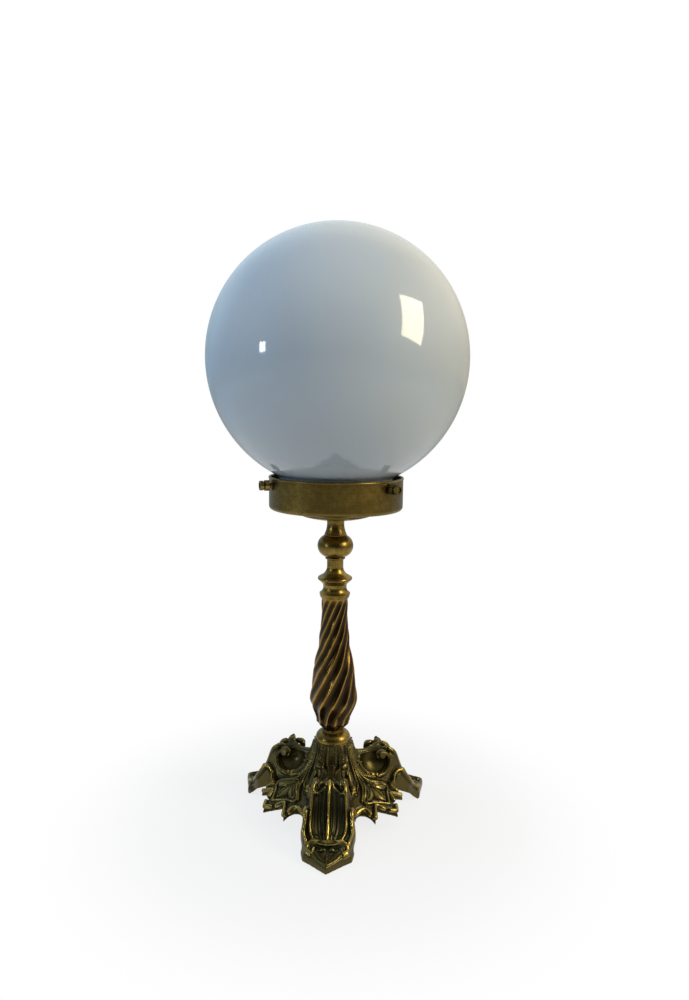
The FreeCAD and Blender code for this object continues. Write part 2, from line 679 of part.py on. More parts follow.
def globe():
    """Blown opal globe with a short neck and a thickened lip."""
    foot_z = GLOBE_Z
    fillet_r = GLOBE_NECK_R + GLOBE_FILLET_R
    reach = GLOBE_R + GLOBE_FILLET_R
    drop = math.sqrt(reach ** 2 - fillet_r ** 2)
    centre_z = GALLERY_TOP_Z - GLOBE_SINK + drop
    fillet_z = centre_z - drop
    join_r = fillet_r * GLOBE_R / reach
    join_z = centre_z - drop * GLOBE_R / reach
    turn = math.atan2(join_z - fillet_z, fillet_r - join_r) / 2
    inner_r = GLOBE_R - GLASS_T
    inner_fillet_r = GLOBE_FILLET_R + GLASS_T
    neck_bore = GLOBE_NECK_R - GLASS_T
    inner_join_r = fillet_r * inner_r / reach
    inner_join_z = centre_z - drop * inner_r / reach
    return (Outline(neck_bore, foot_z)
            .line(GLOBE_LIP_R - 1.4, foot_z)
            .arc((GLOBE_LIP_R, foot_z + GLOBE_LIP_H / 2), (GLOBE_LIP_R - 1.2, foot_z + GLOBE_LIP_H))
            .line(GLOBE_NECK_R, foot_z + GLOBE_LIP_H + 2)
            .line(GLOBE_NECK_R, fillet_z)
            .arc((fillet_r - GLOBE_FILLET_R * math.cos(turn), fillet_z + GLOBE_FILLET_R * math.sin(turn)),
                 (join_r, join_z))
            .arc((GLOBE_R, centre_z), (0, centre_z + GLOBE_R))
            .line(0, centre_z + inner_r)
            .arc((inner_r, centre_z), (inner_join_r, inner_join_z))
            .arc((fillet_r - inner_fillet_r * math.cos(turn), fillet_z + inner_fillet_r * math.sin(turn)),
                 (neck_bore, fillet_z))
            .turned())


# --- centre tube and its fixings --------------------------------------------------------------
def centre_tube():
    return ring(TUBE_R, TUBE_BORE_R, TUBE_Z, TUBE_TOP_Z - TUBE_Z)


def base_washer():
    return ring(WASHER_R, FIT_R, WASHER_Z, WASHER_T)


def earth_tag():
    """Ring tag for the earth wire, its tail bent down beside the nut."""
    tail_x = NUT_FLATS / math.sqrt(3) + BODY_GAP
    tail = Part.makeBox(TAG_T, TAG_W, TAG_LENGTH,
                        FreeCAD.Vector(tail_x, -TAG_W / 2, TAG_Z + TAG_T - TAG_LENGTH))
    arm = Part.makeBox(tail_x + TAG_T - FIT_R, TAG_W, TAG_T, FreeCAD.Vector(FIT_R, -TAG_W / 2, TAG_Z))
    eye = disc(TAG_R, TAG_Z, TAG_T)
    return bored(eye.multiFuse([arm, tail]), FIT_R)


def base_nut():
    return bored(hexagon(NUT_FLATS, NUT_Z, NUT_T), TUBE_R + THREAD_GAP)


def cord_bush():
    """Plastic bush in the lower end of the tube, where the cord goes in."""
    flange = disc(BUSH_FLANGE_R, TUBE_Z - BUSH_FLANGE_T, BUSH_FLANGE_T)
    shank = disc(TUBE_BORE_R - THREAD_GAP, TUBE_Z - EPS, BUSH_SHANK)
    return bored(flange.fuse(shank), BUSH_BORE_R)


def gallery_washer():
    return ring(TOP_WASHER_R, FIT_R, TOP_WASHER_Z, TOP_WASHER_T)


def gallery_locknut():
    return bored(hexagon(LOCKNUT_FLATS, LOCKNUT_Z, LOCKNUT_T), TUBE_R + THREAD_GAP)


# --- lampholder -------------------------------------------------------------------------------
def holder_cap():
    """Domed brass cap of the lampholder, screwed on the tube."""
    outside = (Outline(0, HOLDER_Z)
               .line(HOLDER_BOSS_R, HOLDER_Z)
               .line(HOLDER_BOSS_R, HOLDER_Z + 6)
               .arc((HOLDER_R - 3.4, HOLDER_Z + 9.4), (HOLDER_R, HOLDER_Z + 15))
               .line(HOLDER_R, SHELL_Z)
               .line(0, SHELL_Z)
               .turned())
    bore_r = HOLDER_R - HOLDER_WALL
    inside = (Outline(0, HOLDER_Z + TUBE_TOP_ENGAGE)
              .line(HOLDER_BOSS_R - 1, HOLDER_Z + TUBE_TOP_ENGAGE)
              .arc((bore_r - 3.2, HOLDER_Z + 10.6), (bore_r, HOLDER_Z + 15.6))
              .line(bore_r, SHELL_Z + 1)
              .line(0, SHELL_Z + 1)
              .turned())
    return bored(outside.cut(inside), TUBE_R + THREAD_GAP)


def holder_shell():
    """Outer shell of the lampholder, its mouth turned in over the screw shell."""
    tube = ring(HOLDER_R, HOLDER_R - HOLDER_WALL, SHELL_Z, HOLDER_SHELL_H)
    mouth_r = SCREW_SHELL_BORE_R + SCREW_SHELL_WALL + 1.2
    mouth = ring(HOLDER_R - HOLDER_WALL / 2, mouth_r, SHELL_TOP_Z - HOLDER_WALL, HOLDER_WALL)
    return tube.fuse(mouth)


def shade_ring():
    """Knurled ring on the shell's thread."""
    z = SHELL_Z + HOLDER_SHELL_H * 0.35
    body = ring(HOLDER_R + 1.3, HOLDER_R + THREAD_GAP, z, HOLDER_RING_H)
    flange = ring(HOLDER_RING_R, HOLDER_R + THREAD_GAP, z, 1.6)
    return body.fuse(flange)


def holder_core():
    """Porcelain core that carries the contacts, resting inside the cap."""
    radius = HOLDER_R - HOLDER_WALL - BODY_GAP
    core = disc(radius, CORE_Z + 4, CORE_H - 4).fuse(disc(radius - 6, CORE_Z, CORE_H))
    core = core.cut(disc(CORE_POCKET_R, CORE_TOP_Z - CORE_POCKET_DEPTH, CORE_POCKET_DEPTH + 1))
    for side in (1, -1):
        core = core.cut(Part.makeCylinder(TERMINAL_R, TERMINAL_L,
                                          FreeCAD.Vector(side * TERMINAL_OFFSET, 0, CORE_Z)))
    return core


def screw_shell():
    """Threaded brass shell that takes the bulb's cap."""
    outer_r = SCREW_SHELL_BORE_R + SCREW_SHELL_WALL
    shell = ring(outer_r, SCREW_SHELL_BORE_R, SCREW_SHELL_Z, SCREW_SHELL_H)
    floor = ring(outer_r, CORE_POCKET_R + 1, SCREW_SHELL_Z, SCREW_SHELL_WALL)
    return shell.fuse(floor)


def centre_contact():
    """Bent spring strip in the core's pocket, under the bulb's tip."""
    floor_z = CORE_TOP_Z - CORE_POCKET_DEPTH
    half = SPRING_L / 2
    strip = (Outline(-half, floor_z)
             .line(half, floor_z)
             .line(half, floor_z + SPRING_T)
             .line(-half + 4, floor_z + SPRING_T)
             .line(2, floor_z + SPRING_RISE)
             .line(2, floor_z + SPRING_RISE + SPRING_T)
             .line(-half + 3, floor_z + 2 * SPRING_T)
             .line(-half, floor_z + 2 * SPRING_T))
    return strip.slab(SPRING_W / 2)


def terminal_screws():
    screws = []
    for side in (1, -1):
        place = FreeCAD.Vector(side * TERMINAL_OFFSET, 0, CORE_Z - 1.4)
        shank = Part.makeCylinder(TERMINAL_R - THREAD_GAP, TERMINAL_L, place)
        head = Part.makeCylinder(TERMINAL_R + 1.0, 1.4, place)
        screws.append(shank.fuse(head))
    return Part.makeCompound(screws)


# --- bulb -------------------------------------------------------------------------------------
def bulb_glass():
    """Blown glass of the bulb, its neck cemented in the cap."""
    centre_z = BULB_TOP_Z - BULB_R
    foot_z = BULB_GLASS_Z - BULB_SEAT
    neck_r = BULB_CAP_R - BULB_CAP_WALL - THREAD_GAP
    tangent = math.radians(BULB_SHOULDER_ANGLE)
    throat_z = BULB_GLASS_Z + 9

    def shoulder(radius):
        return radius * math.cos(tangent), centre_z - radius * math.sin(tangent)

    inner_r = BULB_R - BULB_GLASS_T
    return (Outline(neck_r - BULB_GLASS_T, foot_z)
            .line(neck_r, foot_z)
            .line(neck_r, BULB_GLASS_Z)
            .spline((BULB_NECK_R, throat_z), shoulder(BULB_R))
            .arc((BULB_R, centre_z), (0, BULB_TOP_Z))
            .line(0, BULB_TOP_Z - BULB_GLASS_T)
            .arc((inner_r, centre_z), shoulder(inner_r))
            .spline((BULB_NECK_R - BULB_GLASS_T, throat_z), (neck_r - BULB_GLASS_T, BULB_GLASS_Z))
            .turned())


def bulb_cap():
    """Screw cap of the bulb, a thin shell closed by its glass insulator."""
    shell = ring(BULB_CAP_R, BULB_CAP_R - BULB_CAP_WALL, BULB_CAP_Z, BULB_CAP_H)
    floor = ring(BULB_CAP_R, BULB_TIP_R + 1, BULB_CAP_Z, 0.6)
    return shell.fuse(floor)


def bulb_insulator():
    return (Outline(0, BULB_Z + BULB_TIP_H)
            .line(BULB_TIP_R, BULB_Z + BULB_TIP_H)
            .line(BULB_CAP_R - 1.5, BULB_CAP_Z)
            .line(BULB_TIP_R + 1 - THREAD_GAP, BULB_CAP_Z)
            .line(BULB_TIP_R + 1 - THREAD_GAP, BULB_CAP_Z + 2)
            .line(0, BULB_CAP_Z + 2)
            .turned())


def bulb_tip():
    return disc(BULB_TIP_R, BULB_Z, BULB_TIP_H)


def bulb_stem():
    """Glass stem inside the bulb, standing on the insulator."""
    foot_z = BULB_CAP_Z + 2
    top_z = BULB_GLASS_Z + STEM_H
    return Part.makeCone(STEM_R, STEM_TOP_R, top_z - foot_z, FreeCAD.Vector(0, 0, foot_z))


def bulb_filament():
    """Two leads that spread from the stem and the filament wire across them."""
    root_z = BULB_GLASS_Z + STEM_H
    top_z = root_z + FILAMENT_RISE
    wires = []
    for side in (1, -1):
        root = FreeCAD.Vector(side * (STEM_TOP_R - FILAMENT_R), 0, root_z)
        end = FreeCAD.Vector(side * FILAMENT_SPREAD, 0, top_z)
        wires.append(Part.makeCylinder(FILAMENT_R, (end - root).Length, root, end - root))
    across = Part.makeCylinder(FILAMENT_R, 2 * FILAMENT_SPREAD,
                               FreeCAD.Vector(-FILAMENT_SPREAD, 0, top_z), FreeCAD.Vector(1, 0, 0))
    return across.multiFuse(wires).cut(bulb_stem())


# --- the lamp ---------------------------------------------------------------------------------
def lamp():
    """Every piece of the lamp by name."""
    pieces = {
        "base_casting": base_casting(),
        "base_washer": base_washer(),
        "earth_tag": earth_tag(),
        "base_nut": base_nut(),
        "cord_bush": cord_bush(),
        "centre_tube": centre_tube(),
        "base_collar": base_collar(),
        "twisted_column": twisted_column(),
        "ferrule": ferrule(),
        "disc_collar": disc_collar(),
        "ball_knop": ball_knop(),
        "gallery_saucer": gallery_saucer(),
        "gallery": gallery(),
        "screw_nuts": screw_nuts(),
        "gallery_washer": gallery_washer(),
        "gallery_locknut": gallery_locknut(),
        "holder_cap": holder_cap(),
        "holder_shell": holder_shell(),
        "shade_ring": shade_ring(),
        "holder_core": holder_core(),
        "screw_shell": screw_shell(),
        "centre_contact": centre_contact(),
        "terminal_screws": terminal_screws(),
        "globe": globe(),
        "bulb_glass": bulb_glass(),
        "bulb_cap": bulb_cap(),
        "bulb_insulator": bulb_insulator(),
        "bulb_tip": bulb_tip(),
        "bulb_stem": bulb_stem(),
        "bulb_filament": bulb_filament(),
    }
    for number, azimuth in enumerate(screw_azimuths(), start=1):
        pieces["thumb_screw_%d" % number] = thumb_screw(azimuth)
    return pieces


os.makedirs("parts", exist_ok=True)
for name, shape in lamp().items():
    shape.exportStep("parts/%s.step" % name)
    print("%-16s solids %d valid %s volume %.0f" % (name, len(shape.Solids), shape.isValid(), shape.Volume))
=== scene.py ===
import json
import logging
import math
from dataclasses import dataclass, field
from enum import Enum
from typing import Any, Callable, Sequence, Union

import bmesh
import bpy
import numpy as np
from bpy.types import Material, Mesh, Node, NodeSocket, NodeTree, Object
from mathutils import Matrix, Quaternion, Vector
from mathutils.bvhtree import BVHTree
from mathutils.kdtree import KDTree

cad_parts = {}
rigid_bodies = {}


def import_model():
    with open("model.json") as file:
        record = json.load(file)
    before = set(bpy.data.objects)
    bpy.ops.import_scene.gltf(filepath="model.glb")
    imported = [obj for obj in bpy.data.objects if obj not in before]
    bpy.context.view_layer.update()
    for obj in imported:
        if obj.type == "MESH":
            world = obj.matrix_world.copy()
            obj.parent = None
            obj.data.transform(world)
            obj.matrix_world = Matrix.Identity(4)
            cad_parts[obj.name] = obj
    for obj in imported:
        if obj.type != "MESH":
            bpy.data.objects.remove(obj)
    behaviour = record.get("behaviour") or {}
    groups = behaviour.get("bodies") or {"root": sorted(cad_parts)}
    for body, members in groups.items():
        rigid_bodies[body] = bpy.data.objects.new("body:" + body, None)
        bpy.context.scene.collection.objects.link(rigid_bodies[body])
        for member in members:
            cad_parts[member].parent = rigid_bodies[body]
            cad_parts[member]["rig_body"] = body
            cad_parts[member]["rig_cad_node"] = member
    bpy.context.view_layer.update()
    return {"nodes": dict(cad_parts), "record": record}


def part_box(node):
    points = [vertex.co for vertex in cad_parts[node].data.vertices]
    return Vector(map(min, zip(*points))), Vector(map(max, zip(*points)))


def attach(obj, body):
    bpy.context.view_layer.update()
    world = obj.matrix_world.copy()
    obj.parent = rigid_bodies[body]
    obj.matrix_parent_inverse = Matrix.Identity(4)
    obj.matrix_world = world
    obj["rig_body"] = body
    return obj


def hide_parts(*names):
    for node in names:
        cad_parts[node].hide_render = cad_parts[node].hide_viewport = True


MM = 0.001
FEET = 3
FOOT_STEP = 360.0 / FEET
FIRST_FOOT = -90.0
Colour = tuple[float, float, float]
Plan = tuple[float, float]
Point = tuple[float, float, float]

log = logging.getLogger("glass_globe_lamp")


# --- shader expressions -----------------------------------------------------------------------
class Wire:
    """A shader socket that takes part in Python expressions on numbers."""

    def __init__(self, shop: "NodeShop", socket: NodeSocket) -> None:
        """Wraps one output socket.

        Args:
            shop: The node shop that new Math nodes are added to.
            socket: The output socket that this wire stands for.
        """
        self.shop = shop
        self.socket = socket

    def _math(self, operation: str, *values: Any) -> "Wire":
        """Adds one Math node.

        Args:
            operation: The Math node's operation.
            values: The wires or numbers of its sockets, in order.

        Returns:
            The node's result.
        """
        return self.shop.add("Math", {"operation": operation}, dict(enumerate(values)))

    def __add__(self, other: Any) -> "Wire":
        """The sum of this wire and a wire or number."""
        return self._math("ADD", self, other)

    __radd__ = __add__

    def __sub__(self, other: Any) -> "Wire":
        """This wire less a wire or number."""
        return self._math("SUBTRACT", self, other)

    def __rsub__(self, other: Any) -> "Wire":
        """A number less this wire."""
        return self._math("SUBTRACT", other, self)

    def __mul__(self, other: Any) -> "Wire":
        """The product of this wire and a wire or number."""
        return self._math("MULTIPLY", self, other)

    __rmul__ = __mul__

    def __truediv__(self, other: Any) -> "Wire":
        """This wire divided by a wire or number."""
        return self._math("DIVIDE", self, other)

    def __pow__(self, other: Any) -> "Wire":
        """This wire raised to a power."""
        return self._math("POWER", self, other)

    def clamp(self) -> "Wire":
        """This wire held between 0 and 1."""
        return self.shop.add("Clamp", {}, {"Value": self})

    def between(self, low: float, high: float) -> "Wire":
        """A smooth step of this wire.

        Args:
            low: Where the step leaves 0.
            high: Where it reaches 1.

        Returns:
            0 under low, 1 over high.
        """
        return self.shop.add("MapRange", {"interpolation_type": "SMOOTHSTEP"},
                             {"Value": self, "From Min": low, "From Max": high})


class NodeShop:
    """Adds nodes to one shader tree."""

    def __init__(self, tree: NodeTree) -> None:
        """Empties the tree.

        Args:
            tree: The material's or the world's node tree.
        """
        self.tree = tree
        tree.nodes.clear()

    def node(self, kind: str, settings: dict[str, Any], inputs: dict[Any, Any]) -> Node:
        """Adds any node.

        Args:
            kind: Blender's name for the node's type, after "ShaderNode".
            settings: The node's properties, set first; "stops" holds a ramp's (place, colour) pairs.
            inputs: Values, wires or sockets by the input's name or number.

        Returns:
            The new node.
        """
        made = self.tree.nodes.new("ShaderNode" + kind)
        for key, value in settings.items():
            if key != "stops":
                setattr(made, key, value)
                continue
            places = made.color_ramp.elements
            while len(places) < len(value):
                places.new(0.5)
            for place, (share, colour) in zip(places, value):
                place.position, place.color = share, (*colour, 1.0)
        for key, value in inputs.items():
            if isinstance(value, Wire):
                self.tree.links.new(value.socket, made.inputs[key])
            elif isinstance(value, NodeSocket):
                self.tree.links.new(value, made.inputs[key])
            else:
                made.inputs[key].default_value = value
        return made

    def add(self, kind: str, settings: dict[str, Any], inputs: dict[Any, Any],
            output: Union[int, str] = 0) -> Wire:
        """Adds a node and wraps one of its outputs.

        Args:
            kind: Blender's name for the node's type, after "ShaderNode".
            settings: The node's properties.
            inputs: Values, wires or sockets by input.
            output: The output's name or number.

        Returns:
            The chosen output.
        """
        return Wire(self, self.node(kind, settings, inputs).outputs[output])

    def place(self) -> Wire:
        """Object coordinates, which are the lamp's own frame in metres."""
        return self.add("TexCoord", {}, {}, "Object")

    def noise(self, place: Wire, scale: float, detail: float = 3.0, rough: float = 0.55) -> Wire:
        """Fractal noise.

        Args:
            place: The coordinates.
            scale: Features per metre.
            detail: Octaves.
            rough: Strength of the finer octaves.

        Returns:
            The noise value, about 0 to 1.
        """
        return self.add("TexNoise", {"noise_dimensions": "3D"},
                        {"Vector": place, "Scale": scale, "Detail": detail, "Roughness": rough})

    def stretched(self, place: Wire, scale: Point) -> Wire:
        """Coordinates scaled along each axis.

        Args:
            place: The coordinates.
            scale: The factor along X, Y and Z.

        Returns:
            The scaled coordinates.
        """
        return self.add("VectorMath", {"operation": "MULTIPLY"}, {0: place, 1: scale})

    def blend(self, share: Wire, first: Any, second: Any) -> Wire:
        """Mixes two colours.

        Args:
            share: 0 for the first colour, 1 for the second.
            first: A colour or wire.
            second: A colour or wire.

        Returns:
            The mixed colour.
        """
        def full(value: Any) -> Any:
            """A colour with its alpha, or the wire itself."""
            return (*value, 1.0) if isinstance(value, tuple) else value
        return self.add("Mix", {"data_type": "RGBA"},
                        {0: share, 6: full(first), 7: full(second)}, 2)

    def bump(self, height: Wire, depth: float, strength: float = 1.0) -> Wire:
        """A normal from a height.

        Args:
            height: The height value.
            depth: Metres that a height of 1 stands for.
            strength: The bump's strength.

        Returns:
            The normal.
        """
        return self.add("Bump", {}, {"Height": height, "Distance": depth, "Strength": strength})

    def crevices(self, reach: float) -> Wire:
        """How open the surface is.

        Args:
            reach: How far away a face still shades the point, in metres.

        Returns:
            0 deep in a crevice, 1 in the open.
        """
        return self.add("AmbientOcclusion", {"samples": 8, "only_local": True},
                        {"Distance": reach}, "AO")

    def surface(self, inputs: dict[str, Any]) -> None:
        """Ends the tree in a Principled shader.

        Args:
            inputs: The shader's values and wires by socket name.
        """
        shader = self.node("BsdfPrincipled", {}, inputs)
        self.node("OutputMaterial", {}, {"Surface": shader.outputs[0]})


def new_material(name: str) -> tuple[Material, NodeShop, Wire]:
    """A node material that has its object coordinates only.

    Args:
        name: The material's name.

    Returns:
        The material, the shop that fills its tree, and the coordinates.
    """
    made = bpy.data.materials.new(name)
    made.use_nodes = True
    shop = NodeShop(made.node_tree)
    return made, shop, shop.place()


# --- finishes ---------------------------------------------------------------------------------
class Grain(Enum):
    """The fine marks that a way of making leaves in brass."""

    TURNED = "turned"
    CAST = "cast"
    SPUN = "spun"


@dataclass(frozen=True)
class AgedBrass:
    """Patinated brass: dark in its crevices, from patina and from painted shade, brown on its faces and
    rubbed bright where it stands out.
    """

    name: str
    grain: Grain
    # crevice: the darkest colour, standing for the patina and the painted shade in crevices.
    crevice: Colour = (0.014, 0.012, 0.006)
    face: Colour = (0.15, 0.105, 0.030)
    rubbed: Colour = (0.56, 0.38, 0.10)
    verdigris: float = 0.25
    reach: float = 3.5 * MM
    roughness: float = 0.22
    shade: float = 0.5
    mottling: float = 1.0
    carved: bool = False

    def material(self) -> Material:
        """The node material of this finish."""
        made, shop, place = new_material(self.name)
        cloud = shop.noise(place, 42.0, 4.0)
        mottle = shop.noise(place, 210.0, 5.0, 0.65)
        speck = shop.noise(place, 1300.0, 2.0)
        openness = shop.crevices(self.reach)
        patches = ((cloud - 0.5) * 0.5 + (mottle - 0.5) * 0.5) * self.mottling
        # Painted shade: the occlusion term darkens the colour in crevices, on top of the real patina
        # there.
        wear_and_painted_light = openness.between(0.35, 1.0) * 0.62 + patches
        if self.carved:
            # The relief brightens raised parts as rubbed wear, and it brightens the base's C-scrolls
            # further as a painted highlight.
            relief = shop.add("Attribute", {"attribute_name": "relief"}, {}, "Fac")
            wear_and_painted_light = wear_and_painted_light * 0.55 + relief * 0.75 - 0.2
        wear_and_painted_light = (wear_and_painted_light + (self.shade - 0.5)).clamp()
        body = shop.add("ValToRGB", {"stops": [
            (0.0, self.crevice), (0.30, tuple(c * 0.55 for c in self.face)), (0.55, self.face),
            (0.86, self.rubbed)]}, {0: wear_and_painted_light}, 0)
        green = (cloud.between(0.52, 0.68) * (1.0 - openness.between(0.4, 0.95))).clamp()
        colour = shop.blend(green * self.verdigris, body, (0.035, 0.085, 0.07))
        fine = self._marks(shop, place)
        rough = self.roughness + (1.0 - wear_and_painted_light) * 0.14 + (mottle - 0.5) * 0.16 + (fine - 0.5) * 0.08
        height = fine * 0.5 + speck * 0.35 + mottle * 0.6
        shop.surface({
            "Base Color": colour, "Metallic": (0.72 + wear_and_painted_light * 0.4).clamp(), "Roughness": rough.clamp(),
            "Normal": shop.bump(height, 0.06 * MM if self.grain is not Grain.CAST else 0.16 * MM, 0.6),
        })
        return made

    def _marks(self, shop: NodeShop, place: Wire) -> Wire:
        """The height of the tool's marks.

        Args:
            shop: The material's node shop.
            place: Object coordinates.

        Returns:
            Fine rings for turned and spun work, grains for a casting.
        """
        if self.grain is Grain.CAST:
            return shop.noise(place, 620.0, 4.0, 0.7)
        pitch = 2600.0 if self.grain is Grain.TURNED else 1500.0
        rings = shop.stretched(place, (pitch * 0.006, pitch * 0.006, pitch))
        return shop.noise(rings, 1.0, 2.0, 0.5)


@dataclass(frozen=True)
class OpalGlass:
    """Blown opal glass: milky, glossy and very slightly uneven."""

    name: str
    # A blue-grey far darker than the white glass: painted shade, with a painted tint of the cool light on
    # the globe.
    colour: Colour = (0.425, 0.462, 0.515)

    def material(self) -> Material:
        """The node material of this finish."""
        made, shop, place = new_material(self.name)
        cloud = shop.noise(place, 7.0, 2.0)
        swirl = shop.noise(shop.stretched(place, (16.0, 16.0, 48.0)), 1.0, 3.0)
        warm = tuple(c * k for c, k in zip(self.colour, (1.03, 1.0, 0.965)))
        cool = tuple(c * k for c, k in zip(self.colour, (0.965, 1.0, 1.035)))
        colour = shop.blend(cloud.between(0.3, 0.7), cool, warm)
        dust = shop.noise(place, 900.0, 2.0)
        shop.surface({
            "Base Color": colour, "Roughness": (0.055 + swirl * 0.03 + dust.between(0.62, 0.8) * 0.05),
            "IOR": 1.5, "Subsurface Weight": 0.25, "Subsurface Scale": 0.004,
            "Subsurface Radius": (1.0, 1.0, 1.0), "Coat Weight": 0.35, "Coat Roughness": 0.03,
            "Normal": shop.bump(swirl + cloud, 0.25 * MM, 0.35),
        })
        return made


@dataclass(frozen=True)
class Ceramic:
    """White glazed porcelain with faint clouding, darker in its crevices and with scattered dust specks.
    """

    name: str
    colour: Colour = (0.80, 0.78, 0.72)

    def material(self) -> Material:
        """The node material of this finish."""
        made, shop, place = new_material(self.name)
        cloud = shop.noise(place, 90.0, 3.0)
        speck = shop.noise(place, 700.0, 2.0)
        # Darker where the occlusion finds crevices, and in scattered dust specks.
        crevice_dark_and_specks = (1.0 - shop.crevices(2 * MM)) * 0.6 + speck.between(0.66, 0.8) * 0.25
        colour = shop.blend(crevice_dark_and_specks.clamp(), self.colour, tuple(c * 0.45 for c in self.colour))
        shop.surface({"Base Color": colour, "Roughness": 0.12 + cloud * 0.14,
                      "Normal": shop.bump(cloud + speck * 0.2, 0.05 * MM, 0.5)})
        return made


@dataclass(frozen=True)
class MachinedMetal:
    """Bare metal with machining marks, slight tarnish blotches, darker crevices and rubbed edges."""

    name: str
    colour: Colour
    tarnish: Colour
    roughness: float = 0.28

    def material(self) -> Material:
        """The node material of this finish."""
        made, shop, place = new_material(self.name)
        blotch = shop.noise(place, 160.0, 4.0)
        marks = shop.noise(shop.stretched(place, (20.0, 20.0, 3200.0)), 1.0, 2.0)
        # Darker where the occlusion finds crevices, and in random tarnish blotches.
        crevice_dark_and_tarnish = (1.0 - shop.crevices(1.5 * MM)) * 0.7 + blotch.between(0.45, 0.75) * 0.5
        colour = shop.blend(crevice_dark_and_tarnish.clamp(), self.colour, self.tarnish)
        shop.surface({"Base Color": colour, "Metallic": 1.0,
                      "Roughness": (self.roughness + blotch * 0.15 + (marks - 0.5) * 0.1).clamp(),
                      "Normal": shop.bump(marks + blotch * 0.4, 0.03 * MM, 0.5)})
        return made


@dataclass(frozen=True)
class Plastic:
    """Moulded plastic with a fine leathery skin and rubbed corners."""

    name: str
    colour: Colour

    def material(self) -> Material:
        """The node material of this finish."""
        made, shop, place = new_material(self.name)
        skin = shop.noise(place, 1800.0, 3.0, 0.6)
        scuff = shop.noise(place, 220.0, 4.0)
        colour = shop.blend(scuff.between(0.5, 0.8), self.colour, tuple(c * 1.9 for c in self.colour))
        shop.surface({"Base Color": colour, "Roughness": 0.42 + scuff * 0.2,
                      "Normal": shop.bump(skin, 0.04 * MM, 0.5)})
        return made


@dataclass(frozen=True)
class ClearGlass:
    """Thin clear glass with faint waviness and dust."""

    name: str
    colour: Colour = (0.97, 0.985, 0.98)

    def material(self) -> Material:
        """The node material of this finish."""
        made, shop, place = new_material(self.name)
        wave = shop.noise(place, 60.0, 2.0)
        dust = shop.noise(place, 1100.0, 2.0)
        shop.surface({"Base Color": (*self.colour, 1.0), "Transmission Weight": 1.0, "IOR": 1.46,
                      "Roughness": 0.01 + dust.between(0.65, 0.8) * 0.12,
                      "Normal": shop.bump(wave, 0.1 * MM, 0.3)})
        return made


# --- mesh helpers -----------------------------------------------------------------------------
def mesh_object(name: str, points: np.ndarray, faces: Sequence[Sequence[int]]) -> Object:
    """A mesh object from points and faces.

    Args:
        name: The piece's name.
        points: Points in metres, one row each.
        faces: The faces' point numbers.

    Returns:
        The object, linked to the scene.
    """
    mesh = bpy.data.meshes.new(name)
    mesh.from_pydata([tuple(p) for p in points], [], [tuple(f) for f in faces])
    mesh.validate()
    smooth(mesh)
    made = bpy.data.objects.new(name, mesh)
    bpy.context.scene.collection.objects.link(made)
    return made


def ring_faces(rings: Sequence[Sequence[int]]) -> list[list[int]]:
    """The faces between neighbouring rings of points.

    Args:
        rings: Each ring's point numbers; a ring of one point is a pole.

    Returns:
        The faces, all turned the same way.
    """
    segments = max(len(ring) for ring in rings)
    faces = []
    for one, two in zip(rings, rings[1:]):
        for i in range(segments):
            j = (i + 1) % segments
            quad = (one[i % len(one)], one[j % len(one)], two[j % len(two)], two[i % len(two)])
            faces.append(list(dict.fromkeys(quad)))
    return [face for face in faces if len(face) > 2]


def revolved(name: str, profile: Sequence[Plan], segments: int = 192) -> Object:
    """A turned piece from a closed profile.

    Args:
        name: The piece's name.
        profile: (radius, height) pairs in millimetres; a radius of 0 is a pole.
        segments: Steps round the axis.

    Returns:
        The turned mesh.
    """
    points, rings = [], []
    for radius, height in profile:
        steps = segments if radius > 0.0 else 1
        rings.append(range(len(points), len(points) + steps))
        for i in range(steps):
            a = 2 * math.pi * i / segments
            points.append((radius * math.cos(a) * MM, radius * math.sin(a) * MM, height * MM))
    return mesh_object(name, np.array(points), ring_faces(rings))


def catmull(points: Sequence[Sequence[float]], step: float) -> np.ndarray:
    """A smooth run through points.

    Args:
        points: The points that the run passes, of any dimension.
        step: The spacing of the samples.

    Returns:
        The samples, one row each.
    """
    knots = np.array(points, float)
    if len(knots) < 3:
        count = max(2, int(np.linalg.norm(knots[-1] - knots[0]) / step) + 1)
        return knots[0] + (knots[-1] - knots[0]) * np.linspace(0, 1, count)[:, None]
    padded = np.vstack([2 * knots[0] - knots[1], knots, 2 * knots[-1] - knots[-2]])
    runs = []
    for a, b, c, d in zip(padded, padded[1:], padded[2:], padded[3:]):
        count = max(2, int(np.linalg.norm(c[:3] - b[:3]) / step) + 1)
        t = np.linspace(0, 1, count, endpoint=False)[:, None]
        runs.append(0.5 * (2 * b + (c - a) * t + (2 * a - 5 * b + 4 * c - d) * t ** 2
                           + (3 * b - a - 3 * c + d) * t ** 3))
    return np.vstack([*runs, knots[-1:]])


def nearest(rows: Sequence[Sequence[float]]) -> KDTree:
    """A tree that finds the nearest of some points.

    Args:
        rows: The points, three numbers each.

    Returns:
        The balanced tree, numbered as the rows are.
    """
    tree = KDTree(len(rows))
    for i, row in enumerate(rows):
        tree.insert(row, i)
    tree.balance()
    return tree


def ramp(value: np.ndarray, start: float, width: float) -> np.ndarray:
    """A straight rise from 0 to 1.

    Args:
        value: Where it is read.
        start: Where the rise begins.
        width: How wide it is.

    Returns:
        0 before the rise, 1 after it.
    """
    return np.clip((value - start) / width, 0.0, 1.0)


